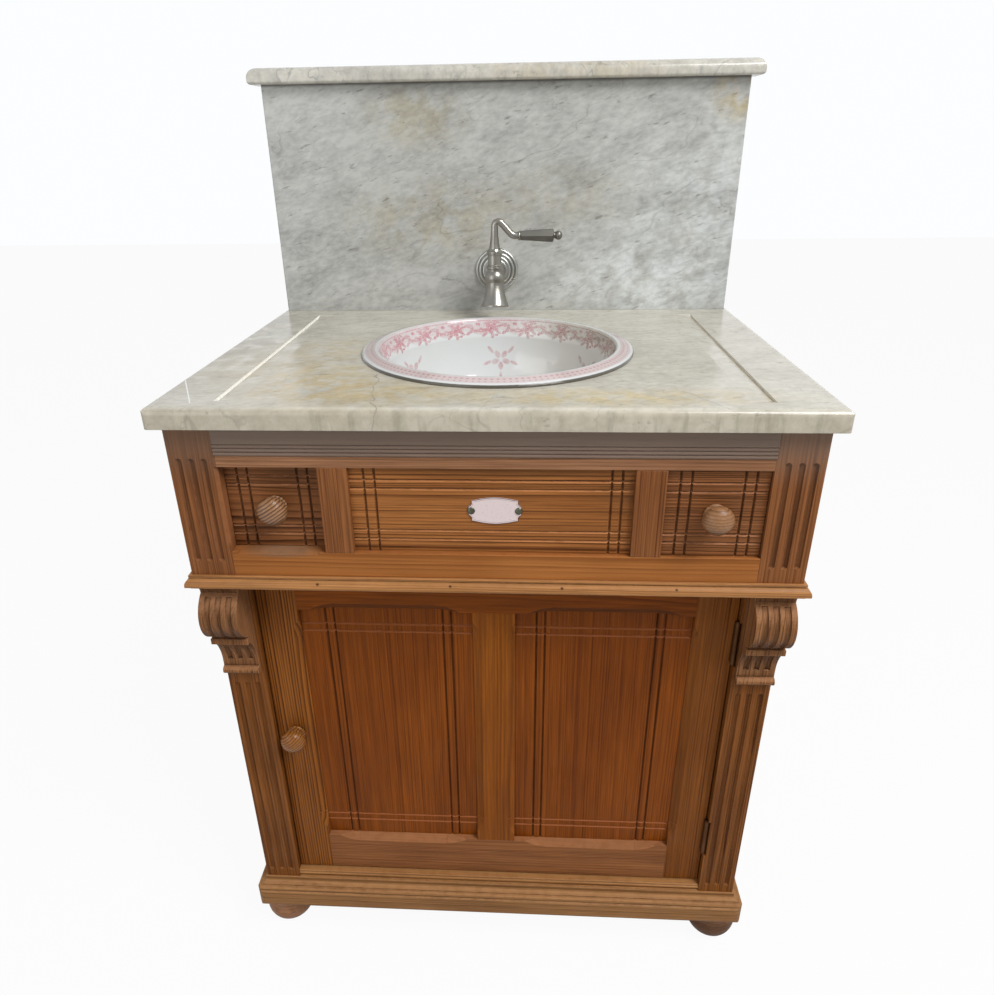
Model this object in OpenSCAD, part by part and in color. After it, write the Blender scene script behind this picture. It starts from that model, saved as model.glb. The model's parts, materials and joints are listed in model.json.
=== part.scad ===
// Washstand with a marble top, a raised splashback, a drop-in bowl and a single wall tap.
// Frame: X to the viewer's right, Y away from the viewer, Z up, floor at z = 0.
// Depths are written as a setback from the marble's front edge, and back() turns one into Y.

/* [Marble] */
// Width of the marble top
top_w = 700; // [690:1:710]
// Depth of the marble top, front edge to wall
top_d = 500; // [490:1:520]
// Thickness of the marble top
top_t = 23; // [20:1:30]
// Height of the marble's upper face above the floor
top_z = 865; // [850:1:880]
// Radius of the marble's upper arris
arris_r = 8; // [4:1:12]
// Distance of each drain groove's outer wall from the middle
groove_x = 283; // [250:1:300]
// Width of a drain groove, from its wall to where it runs out
groove_w = 26; // [10:1:40]
// Depth of a drain groove at its wall
groove_depth = 3; // [1:0.5:5]
// Width of the splashback
splash_w = 684; // [640:1:690]
// Thickness of the splashback
splash_t = 20; // [15:1:25]
// Height of the splashback above the top
splash_h = 317; // [250:1:360]
// Width of the shelf on the splashback
shelf_w = 712; // [704:1:730]
// Thickness of that shelf
shelf_t = 21; // [18:1:25]
// How far that shelf stands out in front of the splashback
shelf_proud = 15.5; // [10:0.5:30]

/* [Bowl] */
// Outer radius of the bowl's rim
basin_r = 170; // [160:1:176]
// Setback of the bowl's centre
basin_set = 237; // [225:1:245]
// Depth of the bowl below the marble
basin_depth = 128; // [110:1:132]
// Wall of the bowl
basin_wall = 7; // [5:0.5:8]

/* [Carcass] */
// Width of the carcass over its sides
case_w = 676; // [670:1:680]
// Setback of the upper face, under the marble
frieze_set = 15; // [14:1:18]
// Setback of the lower face, beside the door
base_set = 50; // [46:1:52]
// Thickness of the front boards
board_t = 22; // [20:1:24]
// Thickness of the side boards
side_t = 20; // [18:1:22]
// Width of the pilasters
pilaster_w = 50; // [48:1:54]
// Height of the drawer zone, with its rails
frieze_h = 179; // [175:1:185]
// Thickness of the moulded waist board
waist_t = 17; // [16:1:20]
// How far the waist moulding stands out
waist_proud = 8; // [6:0.5:10]
// Height of the bun feet
foot_h = 72; // [60:1:80]
// Height of the plinth with its top moulding
plinth_h = 50; // [46:1:56]

/* [Drawers] */
// Width of a drawer opening
opening_w = 106; // [100:1:110]
// Height of the drawer openings
opening_h = 102; // [96:1:104]
// Width of the dividers between drawers and centre panel
divider_w = 32; // [28:1:36]
// Depth of a drawer box behind its front
drawer_d = 250; // [200:5:300]
// Diameter of the turned knobs
knob_d = 33; // [30:1:40]

/* [Door] */
// Width of the door stiles
stile_w = 48.5; // [44:0.5:54]
// Width of the middle muntin
muntin_w = 52; // [44:1:60]
// Height of the top rail of the door
door_top_rail_h = 56; // [50:1:64]
// Height of the bottom rail of the door
door_bottom_rail_h = 64; // [56:1:72]
// Thickness of the door frame
door_t = 22; // [20:1:24]
// Width of the stopped chamfers on the door frame
chamfer_w = 10; // [6:1:12]

/* [Tap] */
// Sideways place of the tap
tap_x = -9; // [-20:1:20]
// Height of the tap above the marble
tap_rise = 61.5; // [55:0.5:80]

/* [Hidden] */
$fn = 64;
sliver = 0.03;
// How far the tap's tail reaches behind the splashback
tail_out = 28;
function back(set) = front_y + set;

// Heights, from the floor up
plinth_z0 = foot_h;
deck_z = foot_h + plinth_h - 7;
plinth_z1 = foot_h + plinth_h;
under_top_z = top_z - top_t;
frieze_z0 = under_top_z - frieze_h;
waist_z0 = frieze_z0 - waist_t;
opening_z0 = frieze_z0 + 30;
opening_z1 = opening_z0 + opening_h;
moulding_z0 = opening_z1 + 13;
splash_z1 = top_z + splash_h;

// Widths, from the middle out
case_x = case_w / 2;
inner_x = case_x - side_t;
pilaster_x = case_x - pilaster_w;
opening_x0 = pilaster_x - opening_w;
centre_x = opening_x0 - divider_w;
base_pilaster_x = pilaster_x + 2;

// Setbacks
back_set = top_d - 15;
back_panel_t = 12;
back_panel_set = back_set - back_panel_t;
frieze_back = frieze_set + board_t;
base_back = base_set + board_t;

// Ruled lines and flutes
rule_w = 3.2;
rule_depth = 2.1;
flute_r = 3.6;
flute_depth = 2.6;
flute_x = [12.5, 26, 39.5];

// Door
door_gap = 1.5;
door_x = base_pilaster_x - door_gap;
door_set = base_set + 8.7;
door_z0 = deck_z + 21;
door_z1 = waist_z0 - 3;
stile_in = door_x - stile_w;
muntin_x = muntin_w / 2;
door_rail_z0 = door_z0 + door_bottom_rail_h;
door_rail_z1 = door_z1 - door_top_rail_h;
tongue = 8;
panel_set = door_set + 8;
panel_t = 9;
tongue_t = 6;
tongue_set = panel_set + 2;
chamfer_depth = 7;
chamfer_run = 30;
lock_knob_z = 391;
knob_spigot_r = 5;
knob_spigot_l = 12;

// Hinges
pin_x = door_x + 0.7;
pin_set = door_set - 3.7;
knuckle_r = 3.2;
hinge_pin_r = 1.5;
hinge_l = 60;
hinge_leaf_t = 2;
hinge_leaf_set = door_set + 19;
hinge_z = [door_z0 + 60, door_z1 - 60 - hinge_l];

// Drawers
drawer_play = 0.8;
drawer_front_set = frieze_set + 15;
drawer_front_t = 16;
// How much further out the right drawer rests than the left one
right_drawer_out = 10;
knob_l = 28;
drawer_side_t = 8;
drawer_bottom_t = 6;
runner_t = 6;
guide_h = 12;

// The frame's middle lies halfway from the right drawer's knob to the end of the tap's tail
knob_proud = right_drawer_out + knob_l - drawer_front_set;
front_y = (knob_proud - top_d - tail_out) / 2;

// Plinth
plinth_proud = 15;
plinth_board = 45;
plinth_in = case_x + 13 - 36;
plinth_back_t = 20;
foot_x = 324;
foot_inset = 51;
block = 45;

// Bowl and waste
hole_r = 163;
waste_r = 20.7;
waste_bore_r = 17;
waste_flange_r = 31.5;
bowl_floor_z = top_z - basin_depth;
bowl_under_z = bowl_floor_z - basin_wall;
waste_tail_z = bowl_under_z - 52;
trap_r = 29;
trap_z0 = 556;
trap_z1 = waste_tail_z - 14;
outlet_r = 16;
outlet_z = trap_z1 - 20;

// Tap
tap_z = top_z + tap_rise;
splash_set = top_d - splash_t;
barrel_r = 13;
tail_r = 10.48;
backnut_l = 9;
valve_set = splash_set - 76;
valve_r = 14.6;
boss_z = tap_z + 16.5;
bonnet_z1 = tap_z + 33.5;
spindle_r = 3.95;
bell_tilt = 9;
bell_l = 41;
lever_z = tap_z + 57.5;
arm_r = 4.9;
crook_r = 6;
crook_z = tap_z + 70;
arm_slope = 48;
arm_bend_r = 12;
collar_x = 34;
lap = 0.4;
grip_l = 45;

// Points of an arc, and of an elliptic arc, in degrees
function arc(cx, cy, r, a0, a1, n = 10) = oval(cx, cy, r, r, a0, a1, n);
function oval(cx, cy, rx, ry, a0, a1, n = 10) =
    [for (i = [0:n]) let (a = a0 + (a1 - a0) * i / n) [cx + rx * cos(a), cy + ry * sin(a)]];

// A board between two values of x, setback and z
module board(x, set, z) {
    translate([x[0], back(set[0]), z[0]])
        cube([x[1] - x[0], set[1] - set[0], z[1] - z[0]]);
}

// A section drawn as (setback, z) and run along X
module along_x(x0, x1) {
    translate([x0, front_y, 0]) rotate([90, 0, 90]) linear_extrude(x1 - x0) children();
}

// A section drawn as (x, z) and run from one setback to another
module along_y(set0, set1) {
    translate([0, back(set1), 0]) rotate([90, 0, 0]) linear_extrude(set1 - set0) children();
}

// The same thing on the left (-1) or on the right (1)
module on_side(side) {
    if (side > 0) children();
    else mirror([1, 0, 0]) children();
}

// A turned shape whose axis points out of the front, its base at the given setback
module turned_out(x, set, z) {
    translate([x, back(set), z]) rotate([90, 0, 0]) rotate_extrude() children();
}

// Ruled V line, its section cut from (0, 0) towards +Y
module rule_section() {
    w = rule_w / 2;
    polygon([[-w, -1], [w, -1], [w, 0], [0, rule_depth], [-w, 0]]);
}
// The line run upright or level, cut into a face at the given setback
module rule_up(x, set, z0, z1) {
    translate([x, back(set), z0]) linear_extrude(z1 - z0) rule_section();
}
module rule_level(x0, x1, set, z) {
    translate([x0, back(set), z]) rotate([90, 0, 90]) linear_extrude(x1 - x0)
        mirror([1, -1, 0]) rule_section();
}

// Stopped flute with round ends
module flute(x, set, z0, z1) {
    translate([x, back(set) - flute_r + flute_depth, z0]) {
        cylinder(r = flute_r, h = z1 - z0);
        sphere(r = flute_r);
        translate([0, 0, z1 - z0]) sphere(r = flute_r);
    }
}

// Part of a ring whose axis is level along X, its angles measured from the back towards up
module ring_x(x, set, z, ring_r, wire_r, a0, a1) {
    translate([x, back(set), z]) rotate([90, 0, 90]) rotate([0, 0, a0])
        rotate_extrude(angle = a1 - a0) translate([ring_r, 0]) circle(r = wire_r);
}

// ---- Marble ----

// Plan of a slab with its two front corners eased
module eased_plan(w, d, r) {
    translate([-w / 2, back(r)]) square([w, d - r]);
    translate([-w / 2 + r, back(0)]) square([w - 2 * r, d]);
    for (s = [-1, 1]) translate([s * (w / 2 - r), back(r)]) circle(r = r);
}

// Upright wedge of a drain groove, run out at both ends
module drain_groove() {
    intersection() {
        along_y(24, 444)
            polygon([[groove_x, top_z + 1], [groove_x, top_z - groove_depth],
                [groove_x - groove_w, top_z], [groove_x - groove_w, top_z + 1]]);
        along_x(0, top_w)
            polygon([[24, top_z + 2], [24, top_z], [40, top_z - groove_depth - 1],
                [428, top_z - groove_depth - 1], [444, top_z], [444, top_z + 2]]);
    }
}

module marble_top() color([0.85, 0.83, 0.76]) {
    difference() {
        intersection() {
            along_x(-top_w / 2, top_w / 2)
                polygon(concat([[top_d, under_top_z], [top_d, top_z]],
                    arc(arris_r, top_z - arris_r, arris_r, 90, 180), [[0, under_top_z]]));
            along_y(0, top_d)
                polygon(concat([[-top_w / 2, under_top_z]],
                    arc(arris_r - top_w / 2, top_z - arris_r, arris_r, 180, 90),
                    arc(top_w / 2 - arris_r, top_z - arris_r, arris_r, 90, 0),
                    [[top_w / 2, under_top_z]]));
            translate([0, 0, under_top_z]) linear_extrude(top_t) eased_plan(top_w, top_d, 5);
        }
        translate([0, back(basin_set), under_top_z - 1]) cylinder(r = hole_r, h = top_t + 2, $fn = 128);
        for (s = [-1, 1]) on_side(s) drain_groove();
    }
}

module splashback() color([0.82, 0.83, 0.82]) {
    difference() {
        translate([0, 0, top_z]) linear_extrude(splash_h)
            polygon(concat([[splash_w / 2, back(top_d)]],
                arc(splash_w / 2 - 2, back(splash_set + 2), 2, 0, -90, 4),
                arc(2 - splash_w / 2, back(splash_set + 2), 2, -90, -180, 4),
                [[-splash_w / 2, back(top_d)]]));
        translate([tap_x, back(top_d + 1), tap_z]) rotate([90, 0, 0]) cylinder(r = 11, h = splash_t + 2);
    }
}

module splash_shelf() color([0.84, 0.84, 0.82]) {
    upper = 13;
    lower = 4;
    shelf_set = splash_set - shelf_proud;
    x1 = shelf_w / 2;
    z1 = splash_z1 + shelf_t;
    intersection() {
        along_x(-x1, x1)
            polygon(concat([[top_d, splash_z1], [top_d, z1]],
                arc(shelf_set + upper, z1 - upper, upper, 90, 180),
                arc(shelf_set + lower, splash_z1 + lower, lower, 180, 270, 5)));
        along_y(shelf_set, top_d)
            polygon(concat(arc(upper - x1, z1 - upper, upper, 180, 90),
                arc(x1 - upper, z1 - upper, upper, 90, 0),
                arc(x1 - lower, splash_z1 + lower, lower, 0, -90, 5),
                arc(lower - x1, splash_z1 + lower, lower, -90, -180, 5)));
    }
}

// ---- Bowl, waste and trap ----

// Inside of the bowl from the throat below the rim to the flat round the waste, as (r, z)
throat_r = 140;
function bowl_curve(grow, n = 26) =
    [for (i = [0:n]) let (a = 90 * i / n)
        [waste_flange_r + 3 + (throat_r - waste_flange_r - 3 + grow) * pow(cos(a), 0.8),
            top_z - 18 - (basin_depth - 18 + grow) * pow(sin(a), 1.15)]];

module basin() color([0.93, 0.92, 0.90]) {
    translate([0, back(basin_set), 0]) difference() {
        rotate_extrude($fn = 128)
            polygon(concat(
                [[0, bowl_floor_z], [waste_flange_r + 3, bowl_floor_z]],
                [for (i = [25:-1:0]) bowl_curve(0)[i]],
                [[basin_r - 27.5, top_z - 9], [basin_r - 25.5, top_z - 3]],
                oval(basin_r - 18, top_z + 3.5, 5, 4.5, 175, 75, 7),
                oval(basin_r - 3.5, top_z + 1, 3.5, 3.4, 75, 0, 5),
                [[basin_r, top_z], [throat_r + 21, top_z], [throat_r + 15, top_z - 3],
                    [throat_r + basin_wall, top_z - 18]],
                [for (i = [1:26]) bowl_curve(basin_wall)[i]],
                [[0, bowl_under_z]]));
        translate([0, 0, bowl_under_z - 1]) cylinder(r = waste_r + 0.5, h = basin_wall + 2);
    }
}

module basin_waste() color([0.72, 0.70, 0.66]) {
    grid_t = 3;
    translate([0, back(basin_set), 0]) difference() {
        rotate_extrude()
            polygon(concat([[0, waste_tail_z], [waste_r, waste_tail_z], [waste_r, bowl_floor_z],
                [waste_flange_r, bowl_floor_z]],
                arc(waste_flange_r - 2, bowl_floor_z + 1, 2, 0, 90, 4),
                [[0, bowl_floor_z + grid_t]]));
        translate([0, 0, waste_tail_z - 1]) cylinder(r = waste_bore_r, h = bowl_floor_z - waste_tail_z + 1);
        // Outlet slots round a plain hub
        for (a = [0:60:300]) rotate([0, 0, a]) translate([6.5, -2.5, bowl_floor_z - 1])
            cube([9.5, 5, grid_t + 3]);
    }
}

module waste_nut() color([0.78, 0.66, 0.42]) {
    translate([0, back(basin_set), bowl_under_z - 16]) difference() {
        union() {
            cylinder(r = 30, h = 12, $fn = 6);
            translate([0, 0, 12]) cylinder(r = 31, h = 4);
        }
        translate([0, 0, -1]) cylinder(r = waste_r + 0.1, h = 18);
    }
}

// Bottle trap: coupling nut, neck and cup, with a dip tube inside
module trap_body() color([0.80, 0.80, 0.80]) {
    nut_z = waste_tail_z - 14;
    translate([0, back(basin_set), 0]) difference() {
        union() {
            translate([0, 0, nut_z]) cylinder(r = 26, h = 30, $fn = 32);
            rotate_extrude()
                polygon(concat([[0, trap_z0]], arc(trap_r - 8, trap_z0 + 8, 8, -90, 0, 6),
                    [[trap_r, trap_z0 + 26], [trap_r + 3, trap_z0 + 26], [trap_r + 3, trap_z0 + 40],
                        [trap_r, trap_z0 + 40], [trap_r, nut_z - 6], [22, nut_z], [0, nut_z]]));
            translate([0, 0, outlet_z]) rotate([-90, 0, 0]) cylinder(r = 21, h = trap_r + 12);
        }
        translate([0, 0, waste_tail_z]) cylinder(r = waste_r + 0.1, h = 40);
        translate([0, 0, nut_z - 20]) cylinder(r = 15, h = 40);
        difference() {
            translate([0, 0, trap_z0 + 3]) cylinder(r = trap_r - 3, h = nut_z - trap_z0 - 12);
            translate([0, 0, trap_z0 + 22]) cylinder(r = 17, h = nut_z - trap_z0);
        }
        translate([0, 0, trap_z0 + 21]) cylinder(r = 15, h = nut_z - trap_z0);
        translate([0, 22, outlet_z]) rotate([-90, 0, 0]) cylinder(r = outlet_r + 0.1, h = 40);
    }
}

module trap_outlet() color([0.80, 0.80, 0.80]) {
    pipe_set0 = basin_set + trap_r + 1;
    difference() {
        union() {
            translate([0, back(pipe_set0), outlet_z]) rotate([-90, 0, 0])
                cylinder(r = outlet_r, h = top_d + 12 - pipe_set0);
            translate([0, back(basin_set + trap_r + 12), outlet_z]) rotate([-90, 0, 0])
                cylinder(r = 24, h = 14, $fn = 8);
        }
        translate([0, back(pipe_set0 - 1), outlet_z]) rotate([-90, 0, 0])
            cylinder(r = outlet_r - 2, h = top_d);
    }
}

// ---- Tap ----

module tap_flange() color([0.60, 0.58, 0.54]) {
    turned_out(tap_x, splash_set, tap_z)
        polygon(concat([[barrel_r + 0.1, 0], [32.5, 0], [32.5, 1.5]],
            arc(29.5, 2.5, 2.6, 0, 90, 4), arc(24.5, 4, 2.4, 10, 100, 4),
            [[21, 5.5]], arc(19.5, 7, 2, 0, 90, 4), [[16.5, 9], [15.5, 10.5], [barrel_r + 0.1, 10.5]]));
}

// One casting: tail, barrel, round valve body, boss and bell spout
module tap_body() color([0.62, 0.60, 0.56]) {
    difference() {
        union() {
            translate([tap_x, back(splash_set), tap_z]) rotate([90, 0, 0])
                cylinder(r = barrel_r, h = splash_set - valve_set);
            tap_tail();
            at_valve() {
                sphere(r = valve_r);
                rotate_extrude()
                    polygon([[0, 0], [11, 0], [11, boss_z - tap_z - 4], [12, boss_z - tap_z - 3.4],
                        [12, boss_z - tap_z - 0.6], [11.4, boss_z - tap_z], [0, boss_z - tap_z]]);
                bell_turn() rotate_extrude() bell_section();
            }
        }
        at_valve() bell_turn() translate([0, 0, 18]) cylinder(r1 = 9, r2 = 17.2, h = bell_l - 18 + sliver);
        at_valve() translate([0, 0, boss_z - tap_z - 6]) cylinder(r = 4.1, h = 10);
    }
}
// Threaded tail, with a run-out groove just past its backnut
module tap_tail() {
    end_l = tail_out - backnut_l - 1;
    translate([tap_x, back(top_d + tail_out), tap_z]) rotate([90, 0, 0]) {
        cylinder(r = tail_r, h = end_l);
        cylinder(r = tail_r - 1, h = end_l + 1);
        translate([0, 0, end_l + 1]) cylinder(r = tail_r, h = backnut_l + splash_t + 1);
    }
}
module at_valve() {
    translate([tap_x, back(valve_set), tap_z]) children();
}
module bell_turn() {
    rotate([180 - bell_tilt, 0, 0]) children();
}
module bell_section() {
    polygon(concat([[0, 2], [12.6, 6], [12.4, 11]],
        [for (i = [1:7]) let (z = 11 + (bell_l - 14) * i / 7)
            [12.4 + 7 * pow((z - 11) / (bell_l - 14), 1.35), z]],
        [[20, bell_l - 2.4], [20, bell_l - 0.8], [19.4, bell_l], [0, bell_l]]));
}

// Valve head that screws into the boss and guides the lever's spindle
module tap_bonnet() color([0.60, 0.58, 0.54]) {
    translate([tap_x, back(valve_set), 0]) difference() {
        rotate_extrude()
            polygon([[0, boss_z], [10.4, boss_z], [10.4, boss_z + 1.4], [9.6, boss_z + 2.2],
                [9.6, bonnet_z1 - 2.2], [10.4, bonnet_z1 - 1.4], [10.4, bonnet_z1], [0, bonnet_z1]]);
        translate([0, 0, boss_z - 1]) cylinder(r = 4, h = 40);
    }
}

// Swan-necked lever: a turned post, a tight crook, a falling arm and a level collar
module tap_lever() color([0.62, 0.60, 0.56]) {
    z0 = bonnet_z1 + 0.3;
    fall_x = crook_r * (1 + sin(arm_slope));
    fall_z = crook_z + crook_r * cos(arm_slope);
    bend_z0 = lever_z + arm_bend_r * (1 - cos(arm_slope));
    fall_l = (fall_z - bend_z0) / sin(arm_slope);
    bend_x0 = fall_x + fall_l * cos(arm_slope);
    bend_x1 = bend_x0 + arm_bend_r * sin(arm_slope);
    translate([tap_x, back(valve_set), 0]) {
        translate([0, 0, boss_z - 5]) cylinder(r = spindle_r, h = bonnet_z1 - boss_z + 6);
        rotate_extrude()
            polygon([[0, z0], [10.6, z0], [11, z0 + 0.8], [11, z0 + 2.6], [9.4, z0 + 3.6], [7.9, z0 + 6.5],
                [6.9, z0 + 12], [5.6, z0 + 22], [arm_r - sliver, crook_z + lap], [0, crook_z + lap]]);
        translate([crook_r, 0, crook_z]) rotate([90, 0, 0]) rotate([0, 0, 90 - arm_slope])
            rotate_extrude(angle = 90 + arm_slope) translate([crook_r, 0]) circle(r = arm_r);
        translate([fall_x, 0, fall_z]) rotate([0, 90 + arm_slope, 0]) translate([0, 0, -lap])
            cylinder(r = arm_r - sliver, h = fall_l + 2 * lap);
        translate([bend_x1, 0, lever_z + arm_bend_r]) rotate([90, 0, 0]) rotate([0, 0, 270 - arm_slope])
            rotate_extrude(angle = arm_slope) translate([arm_bend_r, 0]) circle(r = arm_r);
        translate([bend_x1 - lap, 0, lever_z]) rotate([0, 90, 0])
            cylinder(r = arm_r - sliver, h = collar_x - bend_x1 + lap);
        translate([collar_x, 0, lever_z]) rotate([0, 90, 0]) rotate_extrude()
            polygon(concat([[0, -2.5], [arm_r, -2.5]], arc(arm_r, 1.2, 1.7, -90, 90, 6), [[0, 2.9]]));
    }
}

// Six-sided tapered grip with a turned finial
module lever_grip() color([0.62, 0.60, 0.56]) {
    translate([tap_x + collar_x + 2.9, back(valve_set), lever_z]) rotate([0, 90, 0]) {
        rotate([0, 0, 30]) cylinder(r1 = 6.8, r2 = 10, h = grip_l, $fn = 6);
        translate([0, 0, grip_l - 1]) rotate_extrude()
            polygon(concat([[0, 0], [8, 0], [8, 1.6], [4.4, 2.6], [4, 4.2]],
                oval(0, 8.6, 6.2, 5.6, -50, 90, 12)));
    }
}

module tap_backnut() color([0.78, 0.66, 0.42]) {
    washer_t = 2;
    translate([tap_x, back(top_d + backnut_l), tap_z]) rotate([90, 0, 0]) difference() {
        union() {
            cylinder(r = 17, h = backnut_l - washer_t, $fn = 6);
            translate([0, 0, backnut_l - washer_t]) cylinder(r = 18, h = washer_t);
        }
        translate([0, 0, -1]) cylinder(r = tail_r + 0.1, h = backnut_l + 2);
    }
}

// ---- Carcass ----

module side_panel(side) {
    on_side(side) along_x(inner_x, case_x)
        polygon([[base_back, deck_z], [back_set, deck_z], [back_set, under_top_z],
            [frieze_back, under_top_z], [frieze_back, frieze_z0], [base_back, frieze_z0]]);
}
module side_panel_left() color([0.62, 0.36, 0.14]) side_panel(-1);
module side_panel_right() color([0.62, 0.36, 0.14]) side_panel(1);

// Upright boards with V joints between them, open round the waste pipe
module back_panel() color([0.66, 0.42, 0.20]) {
    difference() {
        board([-inner_x, inner_x], [back_panel_set, back_set], [deck_z, under_top_z]);
        translate([0, back(back_set + 1), outlet_z]) rotate([90, 0, 0])
            cylinder(r = 28, h = back_panel_t + 2);
        for (i = [-3:3])
            translate([i * 90 + 2, back(back_set), deck_z - 1]) rotate([0, 0, 180])
                linear_extrude(under_top_z - deck_z + 2) rule_section();
    }
}

// Floor of the cupboard, its front edge worked to two small beads under the door
module bottom_board() color([0.66, 0.40, 0.17]) {
    z1 = deck_z + 18;
    along_x(-base_pilaster_x, base_pilaster_x)
        polygon(concat([[base_back, deck_z], [base_set, deck_z], [base_set, plinth_z1],
                [base_set + 2, plinth_z1], [base_set + 2, z1 - 7.6]],
            arc(base_set + 2.5, z1 - 5.7, 1.9, 250, 105, 6), arc(base_set + 3.2, z1 - 1.9, 1.9, 250, 90, 6),
            [[base_back, z1]]));
    board([-inner_x, inner_x], [base_back, back_panel_set], [deck_z, z1]);
}

// Under each drawer: a runner between two guides
module drawer_runners() color([0.70, 0.48, 0.25]) {
    z0 = opening_z0 - runner_t;
    for (s = [-1, 1]) on_side(s) along_y(frieze_back, back_panel_set)
        polygon([[opening_x0 - 10, z0], [inner_x, z0], [inner_x, opening_z0 + guide_h],
            [pilaster_x, opening_z0 + guide_h], [pilaster_x, opening_z0], [opening_x0, opening_z0],
            [opening_x0, opening_z0 + guide_h], [opening_x0 - 10, opening_z0 + guide_h]]);
}

// ---- Upper face ----

module upper_pilaster(side) {
    on_side(side) difference() {
        board([pilaster_x, case_x], [frieze_set, frieze_back], [frieze_z0, under_top_z]);
        for (x = flute_x) flute(pilaster_x + x, frieze_set, frieze_z0 + 21, under_top_z - 41);
    }
}
module upper_pilaster_left() color([0.48, 0.26, 0.12]) {
    difference() {
        upper_pilaster(-1);
        // Small chamfer beside the drawer, stopped above the rail
        translate([-pilaster_x, back(frieze_set), opening_z0 + 8]) linear_extrude(opening_h - 8)
            polygon([[-3, 0], [-3, -1], [1, -1], [1, 4], [0, 4]]);
    }
}
module upper_pilaster_right() color([0.48, 0.26, 0.12]) upper_pilaster(1);

// Plain fascia over three reeds
module frieze_moulding() color([0.50, 0.27, 0.12]) {
    reed_r = 2.1;
    reeds = [for (i = [0:2]) each arc(frieze_set, under_top_z - 23.2 - 4.3 * i, reed_r, 90, 270, 8)];
    along_x(-pilaster_x, pilaster_x)
        polygon(concat([[frieze_back, moulding_z0], [frieze_back, under_top_z],
                [frieze_set - 1.5, under_top_z], [frieze_set - 1.5, under_top_z - 20.4]],
            reeds, [[frieze_set, moulding_z0]]));
}

module drawer_rail() color([0.62, 0.36, 0.15]) {
    board([-pilaster_x, pilaster_x], [frieze_set, frieze_back], [opening_z1, moulding_z0]);
}

module divider(side) {
    on_side(side) board([centre_x, opening_x0], [frieze_set, frieze_back], [opening_z0, opening_z1]);
}
module divider_left() color([0.64, 0.36, 0.14]) divider(-1);
module divider_right() color([0.64, 0.36, 0.14]) divider(1);

// Fixed panel ruled with crossing pairs of lines
module centre_panel() color([0.74, 0.44, 0.16]) {
    face = frieze_set + 6;
    difference() {
        board([-centre_x, centre_x], [face, frieze_back], [opening_z0, opening_z1]);
        for (x = [-134, -122.5, 126.5, 137.5]) rule_up(x, face, opening_z0 - 1, opening_z1 + 1);
        for (z = [15.5, 26.5, 76, 86]) rule_level(-centre_x - 1, centre_x + 1, face, opening_z0 + z);
    }
}

module frieze_lower_rail() color([0.68, 0.40, 0.15]) {
    difference() {
        board([-pilaster_x, pilaster_x], [frieze_set, frieze_back], [frieze_z0, opening_z0]);
        // Shallow chamfer under the left drawer, stopped at both ends
        along_x(8 - pilaster_x, -opening_x0 - 8)
            polygon([[frieze_set - 1, opening_z0 - 2.5], [frieze_set, opening_z0 - 2.5],
                [frieze_set + 9, opening_z0], [frieze_set + 9, opening_z0 + 1],
                [frieze_set - 1, opening_z0 + 1]]);
    }
}

// ---- Waist moulding ----

// Edge of the waist board from its top down, as (how far it stands out, z)
waist_edge = concat(
    [[3.5, frieze_z0], [3.5, frieze_z0 - 2.5], [2, frieze_z0 - 2.5], [2, frieze_z0 - 3.6]],
    oval(0.5, frieze_z0 - 11, waist_proud - 0.5, 7.4, 75, 0, 6),
    [[waist_proud, waist_z0 + 3.5], [waist_proud - 1.2, waist_z0 + 3.5]],
    arc(waist_proud - 1.2, waist_z0, 3.5, 90, 180, 5));

module waist_front() color([0.66, 0.37, 0.13]) {
    side_edge = [for (p = waist_edge) [case_x + p[0], p[1]]];
    intersection() {
        along_x(-case_x - 20, case_x + 20)
            polygon(concat([for (p = waist_edge) [frieze_set - p[0], p[1]]],
                [[base_back, waist_z0], [base_back, frieze_z0]]));
        along_y(0, base_back)
            polygon(concat(side_edge,
                [for (i = [len(side_edge) - 1:-1:0]) [-side_edge[i][0], side_edge[i][1]]]));
    }
}

module waist_returns() color([0.64, 0.36, 0.13]) {
    for (s = [-1, 1]) on_side(s) along_y(base_back, back_set)
        polygon(concat([for (p = waist_edge) [case_x + p[0], p[1]]],
            [[case_x, waist_z0], [case_x, frieze_z0]]));
}

// ---- Lower face ----

// Scrolled bracket: a hollow neck, a round lobe, a fillet, a long hollow and a bead
module corbel(side) {
    lobe = [43, waist_z0 - 45, 36];
    hollow = [-9, waist_z0 - 126, 54.5];
    x0 = base_pilaster_x + 3;
    on_side(side) difference() {
        along_x(x0, case_x)
            polygon(concat([[base_set, waist_z0], [19, waist_z0]],
                arc(10.7, waist_z0 - 14, 14, 52, 0, 5),
                arc(lobe[0], lobe[1], lobe[2], 121, 248, 20),
                [[29.8, waist_z0 - 80.5], [25.5, waist_z0 - 80.5], [25.5, waist_z0 - 88],
                    [31, waist_z0 - 88]],
                arc(hollow[0], hollow[1], hollow[2], 42, 0, 10),
                [[45.5, waist_z0 - 135]],
                arc(45, waist_z0 - 140, 5.3, 90, 270, 8),
                [[base_set, waist_z0 - 145]]));
        for (x = [10, 22.5, 35]) {
            ring_x(x0 + x, lobe[0], lobe[1], lobe[2] + 1.2, 3.8, 128, 242);
            ring_x(x0 + x, hollow[0], hollow[1], hollow[2] - 1.2, 3.8, 1, 37);
        }
    }
}
module corbel_left() color([0.58, 0.33, 0.15]) corbel(-1);
module corbel_right() color([0.58, 0.33, 0.15]) corbel(1);

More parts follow.
